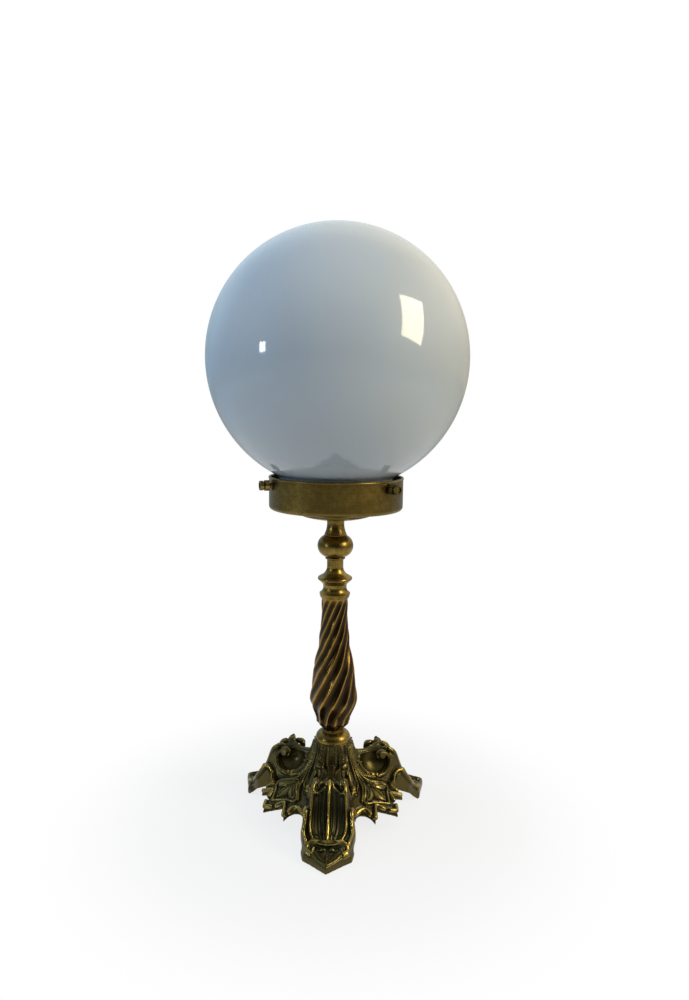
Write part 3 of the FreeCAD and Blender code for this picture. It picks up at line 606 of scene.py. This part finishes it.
def swept(path: np.ndarray, radii: np.ndarray, sides: int = 14) -> tuple[np.ndarray, list[list[int]]]:
    """A closed tube of varying radius along a path.

    Args:
        path: The centre line, one row each.
        radii: The radius at each row.
        sides: Sides of the tube.

    Returns:
        Its points and faces.
    """
    tangents = np.gradient(path, axis=0)
    tangents /= np.linalg.norm(tangents, axis=1)[:, None]
    aside = (0.3, 0.2, 0.93)
    across = np.cross(tangents[0], aside)
    points = []
    for centre, tangent, radius in zip(path, tangents, radii):
        across = across - tangent * np.dot(across, tangent)
        across /= np.linalg.norm(across)
        other = np.cross(tangent, across)
        for i in range(sides):
            a = 2 * math.pi * i / sides
            points.append(centre + radius * (math.cos(a) * across + math.sin(a) * other))
    rings = [range(k * sides, (k + 1) * sides) for k in range(len(path))]
    return np.array(points), [*ring_faces(rings), list(rings[0])[::-1], list(rings[-1])]


def join(made: Object, others: Sequence[Object], weld: float = 0.0) -> None:
    """Joins loose meshes into one.

    Args:
        made: The object that takes them in.
        others: The objects that go.
        weld: How near points become one, in metres; 0 leaves them as they are.
    """
    joined = bmesh.new()
    for part in (made, *others):
        joined.from_mesh(part.data)
    if weld:
        bmesh.ops.remove_doubles(joined, verts=joined.verts, dist=weld)
        bmesh.ops.recalc_face_normals(joined, faces=joined.faces)
    joined.to_mesh(made.data)
    joined.free()
    smooth(made.data)
    for part in others:
        bpy.data.objects.remove(part)


def smooth(mesh: Mesh) -> None:
    """Shades a mesh smoothly.

    Args:
        mesh: The mesh.
    """
    mesh.polygons.foreach_set("use_smooth", [True] * len(mesh.polygons))


def keep_relief(mesh: Mesh, relief: Sequence[float]) -> None:
    """Stores each point's relief for the patina.

    Args:
        mesh: The mesh.
        relief: From 0 in a hollow to 1 on a ridge.
    """
    mesh.attributes.new("relief", "FLOAT", "POINT").data.foreach_set("value", relief)


def dress(node: Object, material: Material) -> None:
    """Gives a carried CAD node its finish.

    Args:
        node: The node's object.
        material: The finish.
    """
    node.data.materials.clear()
    node.data.materials.append(material)


# --- stage ------------------------------------------------------------------------------------
@dataclass
class PhotoCamera:
    """The camera at the photograph's viewing angle."""

    location: Point = (0.026115, -0.585620, 0.3281)
    right: Point = (0.99929801, 0.03478958, 0.01389887)
    up: Point = (-0.01795608, 0.11917118, 0.99271134)
    forward: Point = (-0.03287967, 0.99226403, -0.11971221)
    lens: float = 27.0

    def build(self) -> Object:
        """Makes the camera and hands it to the scene."""
        data = bpy.data.cameras.new("photo_camera")
        data.sensor_width, data.sensor_fit, data.lens = 36.0, "AUTO", self.lens
        data.clip_start, data.clip_end = 0.01, 50.0
        made = bpy.data.objects.new("photo_camera", data)
        bpy.context.scene.collection.objects.link(made)
        turn = Matrix([self.right, self.up, tuple(-c for c in self.forward)]).transposed()
        made.matrix_world = Matrix.Translation(self.location) @ turn.to_4x4()
        bpy.context.scene.camera = made
        return made


@dataclass
class SoftBox:
    """One soft lamp of the studio, aimed at a point of the object."""

    name: str
    azimuth: float
    elevation: float
    distance: float
    size: Plan
    power: float
    colour: Colour
    roll: float = 0.0
    mirrored: bool = True
    aim: Point = (0.0, 0.0, 0.30)

    def build(self) -> Object:
        """Makes the lamp and returns it."""
        data = bpy.data.lights.new(self.name, "AREA")
        data.shape, data.size, data.size_y = "RECTANGLE", *self.size
        data.energy, data.color = self.power, self.colour
        made = bpy.data.objects.new(self.name, data)
        bpy.context.scene.collection.objects.link(made)
        a, e = math.radians(self.azimuth), math.radians(self.elevation)
        way = Vector((math.cos(a) * math.cos(e), math.sin(a) * math.cos(e), math.sin(e)))
        made.location = Vector(self.aim) + way * self.distance
        made.rotation_mode = "QUATERNION"
        turn = Quaternion((0, 0, 1), math.radians(self.roll))
        made.rotation_quaternion = way.to_track_quat("Z", "Y") @ turn
        made.visible_glossy = self.mirrored
        return made


@dataclass
class Studio:
    """White floor, white surroundings and soft light."""

    floor_radius: float = 6.0
    floor_drop: float = 0.2
    floor_grey: float = 0.55
    shadow_keep: float = 0.20
    boxes: list[SoftBox] = field(default_factory=lambda: [
        SoftBox("window_right", -20.0, 28.0, 1.5, (0.50, 0.80), 13.0, (1.0, 0.92, 0.66), roll=-25.0),
        SoftBox("window_left", -150.0, 8.0, 1.8, (0.16, 0.22), 2.6, (0.72, 0.86, 1.0)),
        SoftBox("sky_left", 175.0, 24.0, 1.8, (1.0, 1.4), 10.0, (0.40, 0.70, 1.0), mirrored=False),
        SoftBox("overhead", -90.0, 68.0, 1.7, (1.1, 1.1), 8.0, (1.0, 1.0, 1.0), mirrored=False),
    ])

    def build(self) -> None:
        """Makes the floor, the surroundings and the lamps."""
        profile = [(0.0, -self.floor_drop), (self.floor_radius / MM, -self.floor_drop)]
        floor = revolved("studio_floor", profile, 96)
        floor.data.materials.append(self._floor_material())
        self._surroundings()
        for box in self.boxes:
            box.build()

    def _rays(self, shop: NodeShop) -> tuple[Wire, Wire]:
        """Tells the rays that look at the surroundings from those that light the lamp.

        Args:
            shop: The floor's or the world's node shop.

        Returns:
            1 for rays from the camera, and 1 for reflections and rays through glass.
        """
        rays = shop.node("LightPath", {}, {})
        camera, glossy, clear = (Wire(shop, rays.outputs[n]) for n in
                                 ("Is Camera Ray", "Is Glossy Ray", "Is Transmission Ray"))
        return camera, (glossy + clear).clamp()

    def _floor_material(self) -> Material:
        """A pale floor that keeps the lamp's shadow near it and runs out to white."""
        made, shop, place = new_material("pale_floor")
        away = shop.add("VectorMath", {"operation": "LENGTH"}, {0: place}, "Value")
        camera, mirrored = self._rays(shop)
        share = (camera * (1.0 - self.shadow_keep + away.between(0.10, 0.24) * self.shadow_keep)
                 + mirrored * (0.55 - away.between(0.3, 1.2) * 0.5)).clamp()
        matt = shop.node("BsdfDiffuse", {}, {"Color": (*[self.floor_grey] * 3, 1.0)})
        white = shop.node("Emission", {}, {"Color": (1.0, 1.0, 1.0, 1.0), "Strength": 1.0})
        mixed = shop.node("MixShader", {}, {0: share, 1: matt.outputs[0], 2: white.outputs[0]})
        shop.node("OutputMaterial", {}, {"Surface": mixed.outputs[0]})
        return made

    def _surroundings(self) -> None:
        """White to the camera; to the metal, a room that is bright behind and dark in front."""
        world = bpy.data.worlds.new("studio")
        bpy.context.scene.world = world
        world.use_nodes = True
        shop = NodeShop(world.node_tree)
        place = shop.add("TexCoord", {}, {}, "Generated")
        parts = shop.node("SeparateXYZ", {}, {0: place})
        x, y, z = (Wire(shop, parts.outputs[i]) for i in range(3))
        camera, mirrored = self._rays(shop)
        room = (0.02 + y.between(0.1, 0.9) * 0.95 + z.between(0.35, 1.0) * 0.45
                + x.between(0.40, 0.95) * 0.95 + (x * -1.0).between(0.50, 0.95) * 0.45).clamp()
        room = room * (0.45 + z.between(0.0, 0.45) * 0.55)
        soft = 0.24 + z.between(-0.6, 0.9) * 0.34 + (x * -1.0).between(-0.2, 1.0) * 0.06
        tint = shop.blend(x.between(-0.6, 0.6), (0.64, 0.84, 1.0), (1.0, 0.92, 0.74))
        colour = shop.blend(camera, tint, (1.0, 1.0, 1.0))
        strength = camera + (1.0 - camera) * (mirrored * room + (1.0 - mirrored) * soft)
        back = shop.node("Background", {}, {"Color": colour, "Strength": strength})
        shop.node("OutputWorld", {}, {"Surface": back.outputs[0]})


# --- footed base ------------------------------------------------------------------------------
class Layer(Enum):
    """Whether a stroke is a broad form or a fine line on top of the forms."""

    FORM = "form"
    LINE = "line"


@dataclass(frozen=True)
class Stroke:
    """A raised or sunk band that runs over the casting, drawn in plan on one half of one foot."""

    plan: Sequence[Plan]
    width: float
    height: float
    ends: float = 0.0
    layer: Layer = Layer.LINE

    def thickness(self, share: float) -> float:
        """How much of the full width is left.

        Args:
            share: The place as a share of the run.

        Returns:
            1 for the full width.
        """
        return math.sin(math.pi * min(max(share, 0.03), 0.97)) ** self.ends


def polar(*places: Plan) -> list[Plan]:
    """Plan points by distance and angle.

    Args:
        places: Each one's distance from the lamp's axis, or from a volute's eye, and its angle from
            the foot's axis in degrees.

    Returns:
        Their distances along the foot's axis and beside it.
    """
    return [(r * math.cos(a), r * math.sin(a)) for r, a in ((r, math.radians(t)) for r, t in places)]


def spiral(centre: Plan, first_r: float, last_r: float, turns: float, start: float) -> list[Plan]:
    """Plan points of a small volute.

    Args:
        centre: Its eye.
        first_r: The outer radius.
        last_r: The inner radius.
        turns: How often it goes round.
        start: The angle of its outer end in degrees.

    Returns:
        The points from the outer end to the eye.
    """
    steps = 14
    out = []
    for i in range(steps + 1):
        share = i / steps
        r = first_r + (last_r - first_r) * share
        x, y = polar((r, start + 360.0 * turns * share))[0]
        out.append((centre[0] + x, centre[1] + y))
    return out


@dataclass
class FootedBase:
    """The cast base: three kneed legs round a flaring hub, with coves, leaves and beaded rims."""

    voxel: float = 0.5
    sample: float = 0.3
    scroll_step: float = 0.8
    ray_top: float = 0.2
    plain_relief: float = 0.30
    facing_up: float = -0.35
    slope_at: Sequence[float] = (67.0, 70.0, 73.0, 78.0, 84.0, 90.0)
    slope_share: Sequence[float] = (1.0, 0.97, 0.76, 0.58, 0.49, 0.45)
    side_drop: float = 0.22
    bevel: float = 0.12
    bevel_low: float = 3.2
    bevel_high: float = 7.0
    foot_middle: float = 74.0
    broaden: float = 1.35
    raise_by: float = 1.3
    strokes: list[Stroke] = field(default_factory=list)
    scroll: Sequence[tuple[float, float, float, float]] = (
        (17.5, 12.4, 42.5, 1.3), (22.0, 15.0, 35.2, 1.6), (28.6, 17.4, 30.0, 2.0),
        (34.0, 17.2, 28.8, 2.3), (39.5, 15.2, 29.8, 2.4), (44.4, 12.9, 33.0, 2.4),
        (46.4, 11.4, 38.4, 2.3), (44.6, 10.6, 43.0, 2.1), (41.0, 10.2, 45.2, 2.0),
        (37.6, 10.2, 44.2, 2.1), (36.9, 10.3, 41.4, 2.2), (39.2, 10.4, 40.2, 2.3))
    # How much painted highlight, with rubbed wear, the C-scrolls get.
    scroll_highlight_and_wear: float = 0.30

    def __post_init__(self) -> None:
        """Draws the ornament. Plan points are (mm along the foot's axis, mm beside it)."""
        self.strokes = [*self._leg(), *self._knee(), *self._hub(), *self._skirt(), *self._foot()]

    def _leg(self) -> list[Stroke]:
        """The keel and reeds down the front of the leg, and the rims along its sides."""
        channel = Stroke([(49.5, 5.2), (56.0, 6.4), (62.0, 6.8), (67.5, 6.0)], 9.0, -1.9, ends=0.4,
                         layer=Layer.FORM)
        keel = Stroke([(46.5, 0.0), (52.0, 0.0), (60.0, 0.0), (69.8, 0.0)], 3.4, 2.3)
        reeds = [Stroke([(51.0, 3.4), (57.0, 3.9), (63.0, 3.7), (69.0, 2.4)], 1.4, 0.7),
                 Stroke([(52.0, 6.6), (57.0, 7.2), (63.0, 6.8), (69.0, 4.8)], 1.4, 0.6)]
        inner = Stroke([(47.6, 11.0), (53.0, 12.6), (58.0, 13.2), (63.0, 13.4), (68.5, 11.6)], 2.4, 1.6)
        outer = Stroke([(45.4, 33.0), (41.2, 30.4), (40.2, 26.4), (43.4, 21.8), (48.6, 17.8), (54.0, 16.8),
                        (60.0, 17.3), (65.0, 18.2), (69.5, 17.8)], 2.8, 1.8)
        spur = Stroke(spiral((44.8, 30.6), 2.3, 0.9, 1.2, 60.0), 1.2, 1.0)
        return [channel, keel, *reeds, inner, outer, spur]

    def _knee(self) -> list[Stroke]:
        """The leaf that folds over the knee and the fan along its ridge."""
        apron = Stroke([(46.6, 0.6), (50.6, 4.6), (52.4, 8.6), (51.6, 12.4)], 2.4, 1.5)
        lobe = Stroke([(43.6, 4.2), (46.4, 7.2), (46.8, 10.6)], 5.2, 1.5, ends=0.5, layer=Layer.FORM)
        fan = [Stroke([(21.5, t * 0.6), (32.0, t * 0.5), (39.0, t), (43.5, t * 1.9)], 1.3, 0.8)
               for t in (0.0, 2.7)]
        return [apron, lobe, *fan]

    def _hub(self) -> list[Stroke]:
        """The panels and leaves down the flare of the hub and the ribs that spread from it."""
        strip = Stroke(polar((15.4, 12.5), (18.0, 12.0), (20.0, 8.6), (22.5, 4.0)), 1.5, 1.0)
        leaf = Stroke(polar((15.6, 29.0), (17.4, 30.0), (19.6, 29.0), (23.0, 24.0)), 6.6, 1.5, ends=0.5,
                      layer=Layer.FORM)
        veins = [Stroke(polar((r, 29.0), (r + 1.9, 29.0 + turn)), 0.9, -0.55)
                 for r in (16.0, 17.6, 19.4) for turn in (8.0, -8.0)]
        edge = Stroke(polar((15.4, 43.0), (19.2, 42.0), (22.6, 35.0), (25.0, 27.0)), 1.3, 0.9)
        loop = Stroke(polar((15.6, 50.0), (20.0, 51.0), (24.5, 49.5), (29.8, 44.0), (35.1, 33.8),
                            (37.4, 27.0)), 1.7, 1.2)
        flank = Stroke(polar((26.0, 45.0), (31.0, 38.0), (35.4, 29.0)), 5.0, 1.2, ends=0.6,
                       layer=Layer.FORM)
        rib = Stroke(polar((15.5, 56.0), (22.0, 56.0), (29.5, 52.0), (35.5, 44.5), (41.8, 36.0)), 1.8, 1.4)
        corner = Stroke(polar((15.5, 60.0), (22.0, 60.0), (28.5, 60.0)), 1.6, 1.0)
        return [strip, leaf, *veins, edge, loop, flank, rib, corner]

    def _skirt(self) -> list[Stroke]:
        """The beads round each corner panel and the three leaves in it."""
        middle = Stroke(polar((33.0, 60.0), (42.0, 60.0), (50.5, 60.0)), 8.6, 2.6, ends=0.7,
                        layer=Layer.FORM)
        side = Stroke(polar((32.0, 56.5), (37.5, 51.5), (41.2, 46.0), (43.4, 40.5)), 6.4, 2.4, ends=0.6,
                      layer=Layer.FORM)
        crease = [Stroke(polar((35.0, 60.0), (48.0, 60.0)), 1.0, -0.8),
                  Stroke(polar((34.0, 55.0), (38.5, 50.2), (42.4, 43.2)), 1.0, -0.8)]
        panel = Stroke(polar((30.6, 56.0), (36.8, 45.0), (43.4, 37.6), (45.6, 42.0), (46.6, 47.5),
                             (49.4, 54.0), (53.2, 60.0)), 1.9, 1.4)
        rim = Stroke(polar((59.8, 60.0), (55.0, 53.2), (48.9, 47.2), (52.2, 42.0), (56.4, 38.4)), 2.6, 1.7)
        return [middle, side, *crease, panel, rim]

    def _foot(self) -> list[Stroke]:
        """The C-scrolls round the foot's tray, its keel and the edge of its toe."""
        rim = Stroke([(70.8, 0.8), (69.6, 8.4), (68.6, 13.6), (70.6, 16.8), (74.4, 16.4), (77.4, 12.6)],
                     3.0, 1.7)
        inner = Stroke([(74.0, 2.6), (73.4, 8.0), (73.0, 11.6), (74.8, 12.6)], 1.8, 1.0)
        edge = Stroke([(76.8, 13.0), (80.0, 10.0), (84.0, 6.6), (88.4, 0.5)], 2.0, 0.8)
        keel = Stroke([(77.0, 0.0), (88.4, 0.0)], 1.8, 0.9)
        return [rim, inner, edge, keel]

    def build(self, casting: Object) -> Object:
        """Sculpts the base over its plain casting.

        Args:
            casting: The CAD node of the casting.

        Returns:
            The carved base, which stands for that node.
        """
        tree = BVHTree.FromObject(casting, bpy.context.evaluated_depsgraph_get())
        made = casting.copy()
        made.data = casting.data.copy()
        made.name = "carved_base"
        made.parent = None
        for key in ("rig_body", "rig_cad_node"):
            if key in made:
                del made[key]
        bpy.context.scene.collection.objects.link(made)
        join(made, [self._scroll(k, side) for k in range(FEET) for side in (1, -1)])
        self._remesh(made)
        self._carve(made, tree)
        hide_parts("base_casting")
        return made

    def _scroll(self, foot: int, side: int) -> Object:
        """One C-scroll round the cove beside a knee, with its curled end.

        Args:
            foot: Which foot, 0 at the front.
            side: 1 or -1, which side of the foot.

        Returns:
            The scroll's mesh object.
        """
        run = catmull(self.scroll, self.scroll_step)
        path = self._turned(run[:, :3] * (1.0, side, 1.0), foot) * MM
        points, faces = swept(path, run[:, 3] * MM)
        return mesh_object("scroll", points, faces)

    def _turned(self, points: np.ndarray, foot: int) -> np.ndarray:
        """Turns points drawn along +X onto a foot.

        Args:
            points: Rows of X, Y, Z.
            foot: Which foot, 0 at the front.

        Returns:
            The turned rows.
        """
        a = math.radians(FIRST_FOOT + FOOT_STEP * foot)
        c, s = math.cos(a), math.sin(a)
        x, y, z = points.T
        return np.c_[x * c - y * s, x * s + y * c, z]

    def _remesh(self, made: Object) -> None:
        """Turns the joined solids into one even skin and softens its corners.

        Args:
            made: The object to remesh.
        """
        remesh = made.modifiers.new("skin", "REMESH")
        remesh.mode, remesh.voxel_size = "VOXEL", self.voxel * MM
        soft = made.modifiers.new("soft", "SMOOTH")
        soft.factor, soft.iterations = 0.5, 3
        depsgraph = bpy.context.evaluated_depsgraph_get()
        mesh = bpy.data.meshes.new_from_object(made.evaluated_get(depsgraph))
        made.modifiers.clear()
        made.data = mesh

    def _samples(self, layer: Layer, tree: BVHTree) -> tuple[KDTree, np.ndarray, np.ndarray]:
        """Lays the strokes of one layer on the casting.

        Args:
            layer: The forms or the lines.
            tree: The casting's faces.

        Returns:
            A tree of the samples, and each sample's half width and height in millimetres.
        """
        rows, widths, heights = [], [], []
        for stroke in self.strokes:
            if stroke.layer is not layer:
                continue
            run = catmull([(*p, 0.0) for p in stroke.plan], self.sample)
            for i, (along, beside, _) in enumerate(run):
                thin = stroke.thickness(i / (len(run) - 1))
                spot = self._turned(np.array([[along, beside, 0.0]]), 0)[0]
                above = Vector((spot[0] * MM, spot[1] * MM, self.ray_top))
                hit = tree.ray_cast(above, Vector((0, 0, -1)))[0]
                if hit is None:
                    continue
                rows.append((along, beside, hit.z / MM))
                widths.append(stroke.width * self.broaden * thin / 2)
                heights.append(stroke.height * self.raise_by * (0.4 + 0.6 * thin))
        return nearest(rows), np.array(widths), np.array(heights)

    def _paint_scroll_highlights(self, relief: np.ndarray, places: np.ndarray) -> None:
        """Brightens the C-scrolls: a painted highlight, together with their rubbed wear.

        Args:
            relief: Each point's relief, which is raised near a scroll.
            places: Each point's place along, beside and above its foot's axis.
        """
        run = catmull(self.scroll, self.scroll_step)
        found = nearest([row[:3] for row in run])
        for i in np.nonzero((places[:, 0] < 52.0) & (places[:, 2] > 24.0))[0]:
            _, index, gap = found.find(places[i])
            relief[i] += self.scroll_highlight_and_wear * max(0.0, 1.0 - (gap / (run[index, 3] * 1.35)) ** 4)

    def _slope(self, along: np.ndarray, beside: np.ndarray) -> np.ndarray:
        """How much of its height each point keeps, so that a foot runs down to a low toe.

        Args:
            along: Each point's distance along its foot's axis.
            beside: Each point's distance from that axis.

        Returns:
            The shares of the height.
        """
        share = np.interp(along, self.slope_at, self.slope_share)
        outward = ramp(beside, 10.0, 8.0) * ramp(along, 62.0, 6.0)
        return share * (1.0 - self.side_drop * outward)

    def _bevel(self, along: np.ndarray, height: np.ndarray) -> np.ndarray:
        """How far each point moves towards its foot's middle, which slopes the foot's edge.

        Args:
            along: Each point's distance along its foot's axis.
            height: Each point's height.

        Returns:
            The shares of the way to the middle.
        """
        rise = ramp(height, self.bevel_low, self.bevel_high - self.bevel_low)
        near = ramp(along, 61.0, 7.0) * (1.0 - ramp(height, 13.0, 4.0))
        return self.bevel * rise * near

    def _carve(self, made: Object, tree: BVHTree) -> None:
        """Raises the strokes from the skin and keeps each point's relief for the patina.

        Args:
            made: The remeshed base.
            tree: The plain casting's faces.
        """
        mesh = made.data
        count = len(mesh.vertices)
        co, normals = np.zeros(count * 3), np.zeros(count * 3)
        mesh.vertices.foreach_get("co", co)
        mesh.vertices.foreach_get("normal", normals)
        co, normals = co.reshape(-1, 3) / MM, normals.reshape(-1, 3)
        angle = np.degrees(np.arctan2(co[:, 1], co[:, 0])) - FIRST_FOOT
        turn = np.round(angle / FOOT_STEP) * FOOT_STEP
        reach = np.hypot(co[:, 0], co[:, 1])
        along = reach * np.cos(np.radians(angle - turn))
        beside = reach * np.sin(np.radians(angle - turn))
        raised, relief = np.zeros(count), np.full(count, self.plain_relief)
        for layer in Layer:
            found, widths, heights = self._samples(layer, tree)
            for i in np.nonzero(normals[:, 2] > self.facing_up)[0]:
                _, index, gap = found.find((along[i], abs(beside[i]), co[i, 2]))
                x = gap / max(widths[index], 0.2)
                if layer is Layer.FORM and x < 1.0:
                    raised[i] += heights[index] * (1.0 - x * x) ** 0.6
                    relief[i] += 0.12 * heights[index] * (1.0 - x * x)
                elif layer is Layer.LINE and x < 2.2:
                    beside_it = math.exp(-((x - 1.3) / 0.35) ** 2)
                    raised[i] += heights[index] * (math.cos(min(x, 1.0) * math.pi / 2) - 0.30 * beside_it)
                    relief[i] += 0.20 * heights[index] * max(0.0, 1.0 - x * x) - 0.22 * beside_it
        # Painted highlight on the C-scrolls, added to their rubbed wear.
        self._paint_scroll_highlights(relief, np.c_[along, np.abs(beside), co[:, 2]])
        co[:, 2] *= self._slope(along, np.abs(beside))
        inset = self._bevel(along, co[:, 2])
        middle = np.radians(turn + FIRST_FOOT)
        for axis, towards in ((0, np.cos(middle)), (1, np.sin(middle))):
            co[:, axis] += (self.foot_middle * towards - co[:, axis]) * inset
        co += normals * raised[:, None]
        co[:, 2] = np.maximum(co[:, 2], 0.0)
        mesh.vertices.foreach_set("co", (co * MM).ravel())
        keep_relief(mesh, np.clip(relief, 0.0, 1.0))
        smooth(mesh)
        mesh.update()


# --- column -----------------------------------------------------------------------------------
@dataclass
class TwistedColumn:
    """The baluster column with its spiral flutes."""

    flutes: int = 12
    depth: float = 0.095
    foot_r: float = 8.4
    belly_r: float = 19.3
    head_r: float = 10.6
    twist_foot: float = 1.15
    twist_head: float = 2.45
    run_out: float = 5.0
    steps: int = 240
    round_steps: int = 288

    def radius(self, share: float) -> float:
        """The radius over the ridges.

        Args:
            share: The height as a share of the column.

        Returns:
            Millimetres.
        """
        knots = [(0.0, self.foot_r), (0.07, self.foot_r + 5.4), (0.235, self.belly_r),
                 (0.44, self.belly_r - 2.4), (0.68, self.head_r + 1.7), (0.86, self.head_r - 0.1),
                 (1.0, self.head_r)]
        for (s0, r0), (s1, r1) in zip(knots, knots[1:]):
            if share <= s1:
                x = (share - s0) / (s1 - s0)
                return r0 + (r1 - r0) * x * x * (3 - 2 * x)
        return self.head_r

    def build(self, node: str) -> Object:
        """Makes the fluted skin at the CAD column's place.

        Args:
            node: The CAD node that it stands for.

        Returns:
            The column.
        """
        low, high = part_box(node)
        foot, length = low.z / MM, (high.z - low.z) / MM
        growth = (self.twist_head - self.twist_foot) / length
        points, relief, rings = [(0.0, 0.0, foot * MM)], [0.0], [[0]]
        for k in range(self.steps + 1):
            h = length * k / self.steps
            r = self.radius(h / length)
            fade = min(1.0, h / self.run_out, (length - h) / self.run_out)
            turn = self.twist_foot * h + growth * h * h / 2
            rings.append(range(len(points), len(points) + self.round_steps))
            for i in range(self.round_steps):
                a = 360.0 * i / self.round_steps
                phase = ((a - turn) * self.flutes / 360.0) % 1.0
                dip = math.sin(math.pi * phase) ** 1.3
                rr = r * (1 - self.depth * fade * dip) * MM
                points.append((rr * math.cos(math.radians(a)), rr * math.sin(math.radians(a)),
                               (foot + h) * MM))
                relief.append(1.0 - dip * fade)
        rings.append([len(points)])
        points.append((0.0, 0.0, (foot + length) * MM))
        relief.append(0.0)
        made = mesh_object("fluted_column", np.array(points), ring_faces(rings))
        keep_relief(made.data, relief)
        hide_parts(node)
        return made


# --- globe ------------------------------------------------------------------------------------
@dataclass
class Globe:
    """The blown opal globe with its short neck and rolled lip."""

    radius: float = 100.6
    glass: float = 2.5
    neck_r: float = 44.0
    lip_r: float = 48.8
    lip_h: float = 5.0
    fillet: float = 5.0
    fillet_z: float = 272.64

    def build(self, node: str) -> Object:
        """Turns the globe at a finer step than the CAD mesh.

        Args:
            node: The CAD node that it stands for.

        Returns:
            The globe.
        """
        low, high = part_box(node)
        foot = low.z / MM
        centre = high.z / MM - self.radius
        hollow_r = self.neck_r + self.fillet
        turn = math.atan2(centre - self.fillet_z, hollow_r)

        def arc(r: float, cx: float, cz: float, a0: float, a1: float, count: int) -> list[Plan]:
            """Points on an arc.

            Args:
                r: Its radius.
                cx: The centre's distance from the axis.
                cz: The centre's height.
                a0: The first angle in radians, from the radial direction.
                a1: The last angle.
                count: The number of steps.

            Returns:
                (radius, height) pairs.
            """
            turns = (a0 + (a1 - a0) * i / count for i in range(count + 1))
            return [(abs(cx + r * math.cos(a)), cz + r * math.sin(a)) for a in turns]
        lip_mid = foot + self.lip_h / 2
        outer = [(self.neck_r - self.glass + 0.3, foot), (self.lip_r - 1.4, foot)]
        outer += arc(1.0, self.lip_r - 1.0, lip_mid - 1.2, -math.pi / 2, 0.0, 4)
        outer += arc(1.0, self.lip_r - 1.0, lip_mid + 1.2, 0.0, math.pi / 2, 4)
        outer += [(self.neck_r, foot + self.lip_h + 2), (self.neck_r, self.fillet_z)]
        outer += arc(self.fillet, hollow_r, self.fillet_z, math.pi, math.pi - turn, 8)[1:]
        outer += arc(self.radius, 0.0, centre, -turn, math.pi / 2, 96)[1:]
        inner_r = self.radius - self.glass
        inner = arc(inner_r, 0.0, centre, math.pi / 2, -turn, 72)
        inner += arc(self.fillet + self.glass, hollow_r, self.fillet_z, math.pi - turn, math.pi, 8)[1:]
        inner += [(self.neck_r - self.glass, foot + 0.3), outer[0]]
        outer[-1], inner[0] = (0.0, outer[-1][1]), (0.0, inner[0][1])
        made = revolved("opal_globe", outer, 256)
        join(made, [revolved("inside", inner, 256)], weld=1e-6)
        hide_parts(node)
        return made


# --- the lamp ---------------------------------------------------------------------------------
def finishes() -> dict[str, Material]:
    """Makes one material for each slot of the record."""
    plans: dict[str, Any] = {
        "cast_brass": AgedBrass("carved_cast_brass", Grain.CAST, crevice=(0.010, 0.012, 0.006),
                                face=(0.13, 0.100, 0.030), rubbed=(0.60, 0.42, 0.10),
                                verdigris=0.55, roughness=0.19, carved=True),
        "column_brass": AgedBrass("fluted_brass", Grain.TURNED, crevice=(0.010, 0.006, 0.002),
                                  face=(0.085, 0.044, 0.010), rubbed=(0.46, 0.27, 0.05),
                                  verdigris=0.1, roughness=0.16, shade=0.42, carved=True),
        "aged_brass": AgedBrass("turned_brass", Grain.TURNED, face=(0.15, 0.100, 0.024),
                                rubbed=(0.58, 0.38, 0.08), shade=0.48, mottling=0.7),
        "gallery_brass": AgedBrass("spun_brass", Grain.SPUN, face=(0.15, 0.100, 0.024),
                                   rubbed=(0.58, 0.38, 0.08), shade=0.44, mottling=0.35),
        "screw_brass": AgedBrass("screw_brass", Grain.TURNED, shade=0.5, reach=1.5 * MM),
        "holder_brass": AgedBrass("holder_brass", Grain.SPUN, shade=0.75),
        "brass_plain": MachinedMetal("machined_brass", (0.70, 0.53, 0.25), (0.28, 0.19, 0.08)),
        "steel": MachinedMetal("zinc_steel", (0.58, 0.59, 0.60), (0.28, 0.27, 0.25)),
        "bulb_metal": MachinedMetal("nickel_cap", (0.72, 0.71, 0.68), (0.38, 0.36, 0.32), 0.22),
        "filament": MachinedMetal("tungsten", (0.36, 0.36, 0.37), (0.12, 0.12, 0.13), 0.4),
        "porcelain": Ceramic("glazed_porcelain"),
        "black_plastic": Plastic("black_bush", (0.022, 0.022, 0.024)),
        "black_glass": Plastic("black_insulator", (0.015, 0.015, 0.018)),
        "opal_glass": OpalGlass("opal_glass"),
        "bulb_glass": ClearGlass("clear_bulb"),
    }
    return {slot: plan.material() for slot, plan in plans.items()}


def main() -> None:
    """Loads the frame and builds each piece."""
    logging.basicConfig(level=logging.INFO, format="%(name)s: %(message)s")
    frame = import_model()
    PhotoCamera().build()
    Studio().build()
    bpy.context.scene.view_settings.view_transform = "Standard"
    looks = finishes()
    slots = {part["node"]: part["material_slot"] for part in frame["record"]["subparts"]}
    for name, node in frame["nodes"].items():
        dress(node, looks[slots[name]])
    log.info("dressed %d carried nodes", len(frame["nodes"]))
    makers: list[tuple[str, str, Callable[[], Object], str]] = [
        ("carved base", "lamp", lambda: FootedBase().build(frame["nodes"]["base_casting"]), "cast_brass"),
        ("fluted column", "lamp", lambda: TwistedColumn().build("twisted_column"), "column_brass"),
        ("opal globe", "globe", lambda: Globe().build("globe"), "opal_glass"),
    ]
    for label, body, make, slot in makers:
        piece = make()
        dress(piece, looks[slot])
        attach(piece, body)
        log.info("%s: %d faces on body %s", label, len(piece.data.polygons), body)


if __name__ == "__main__":
    main()
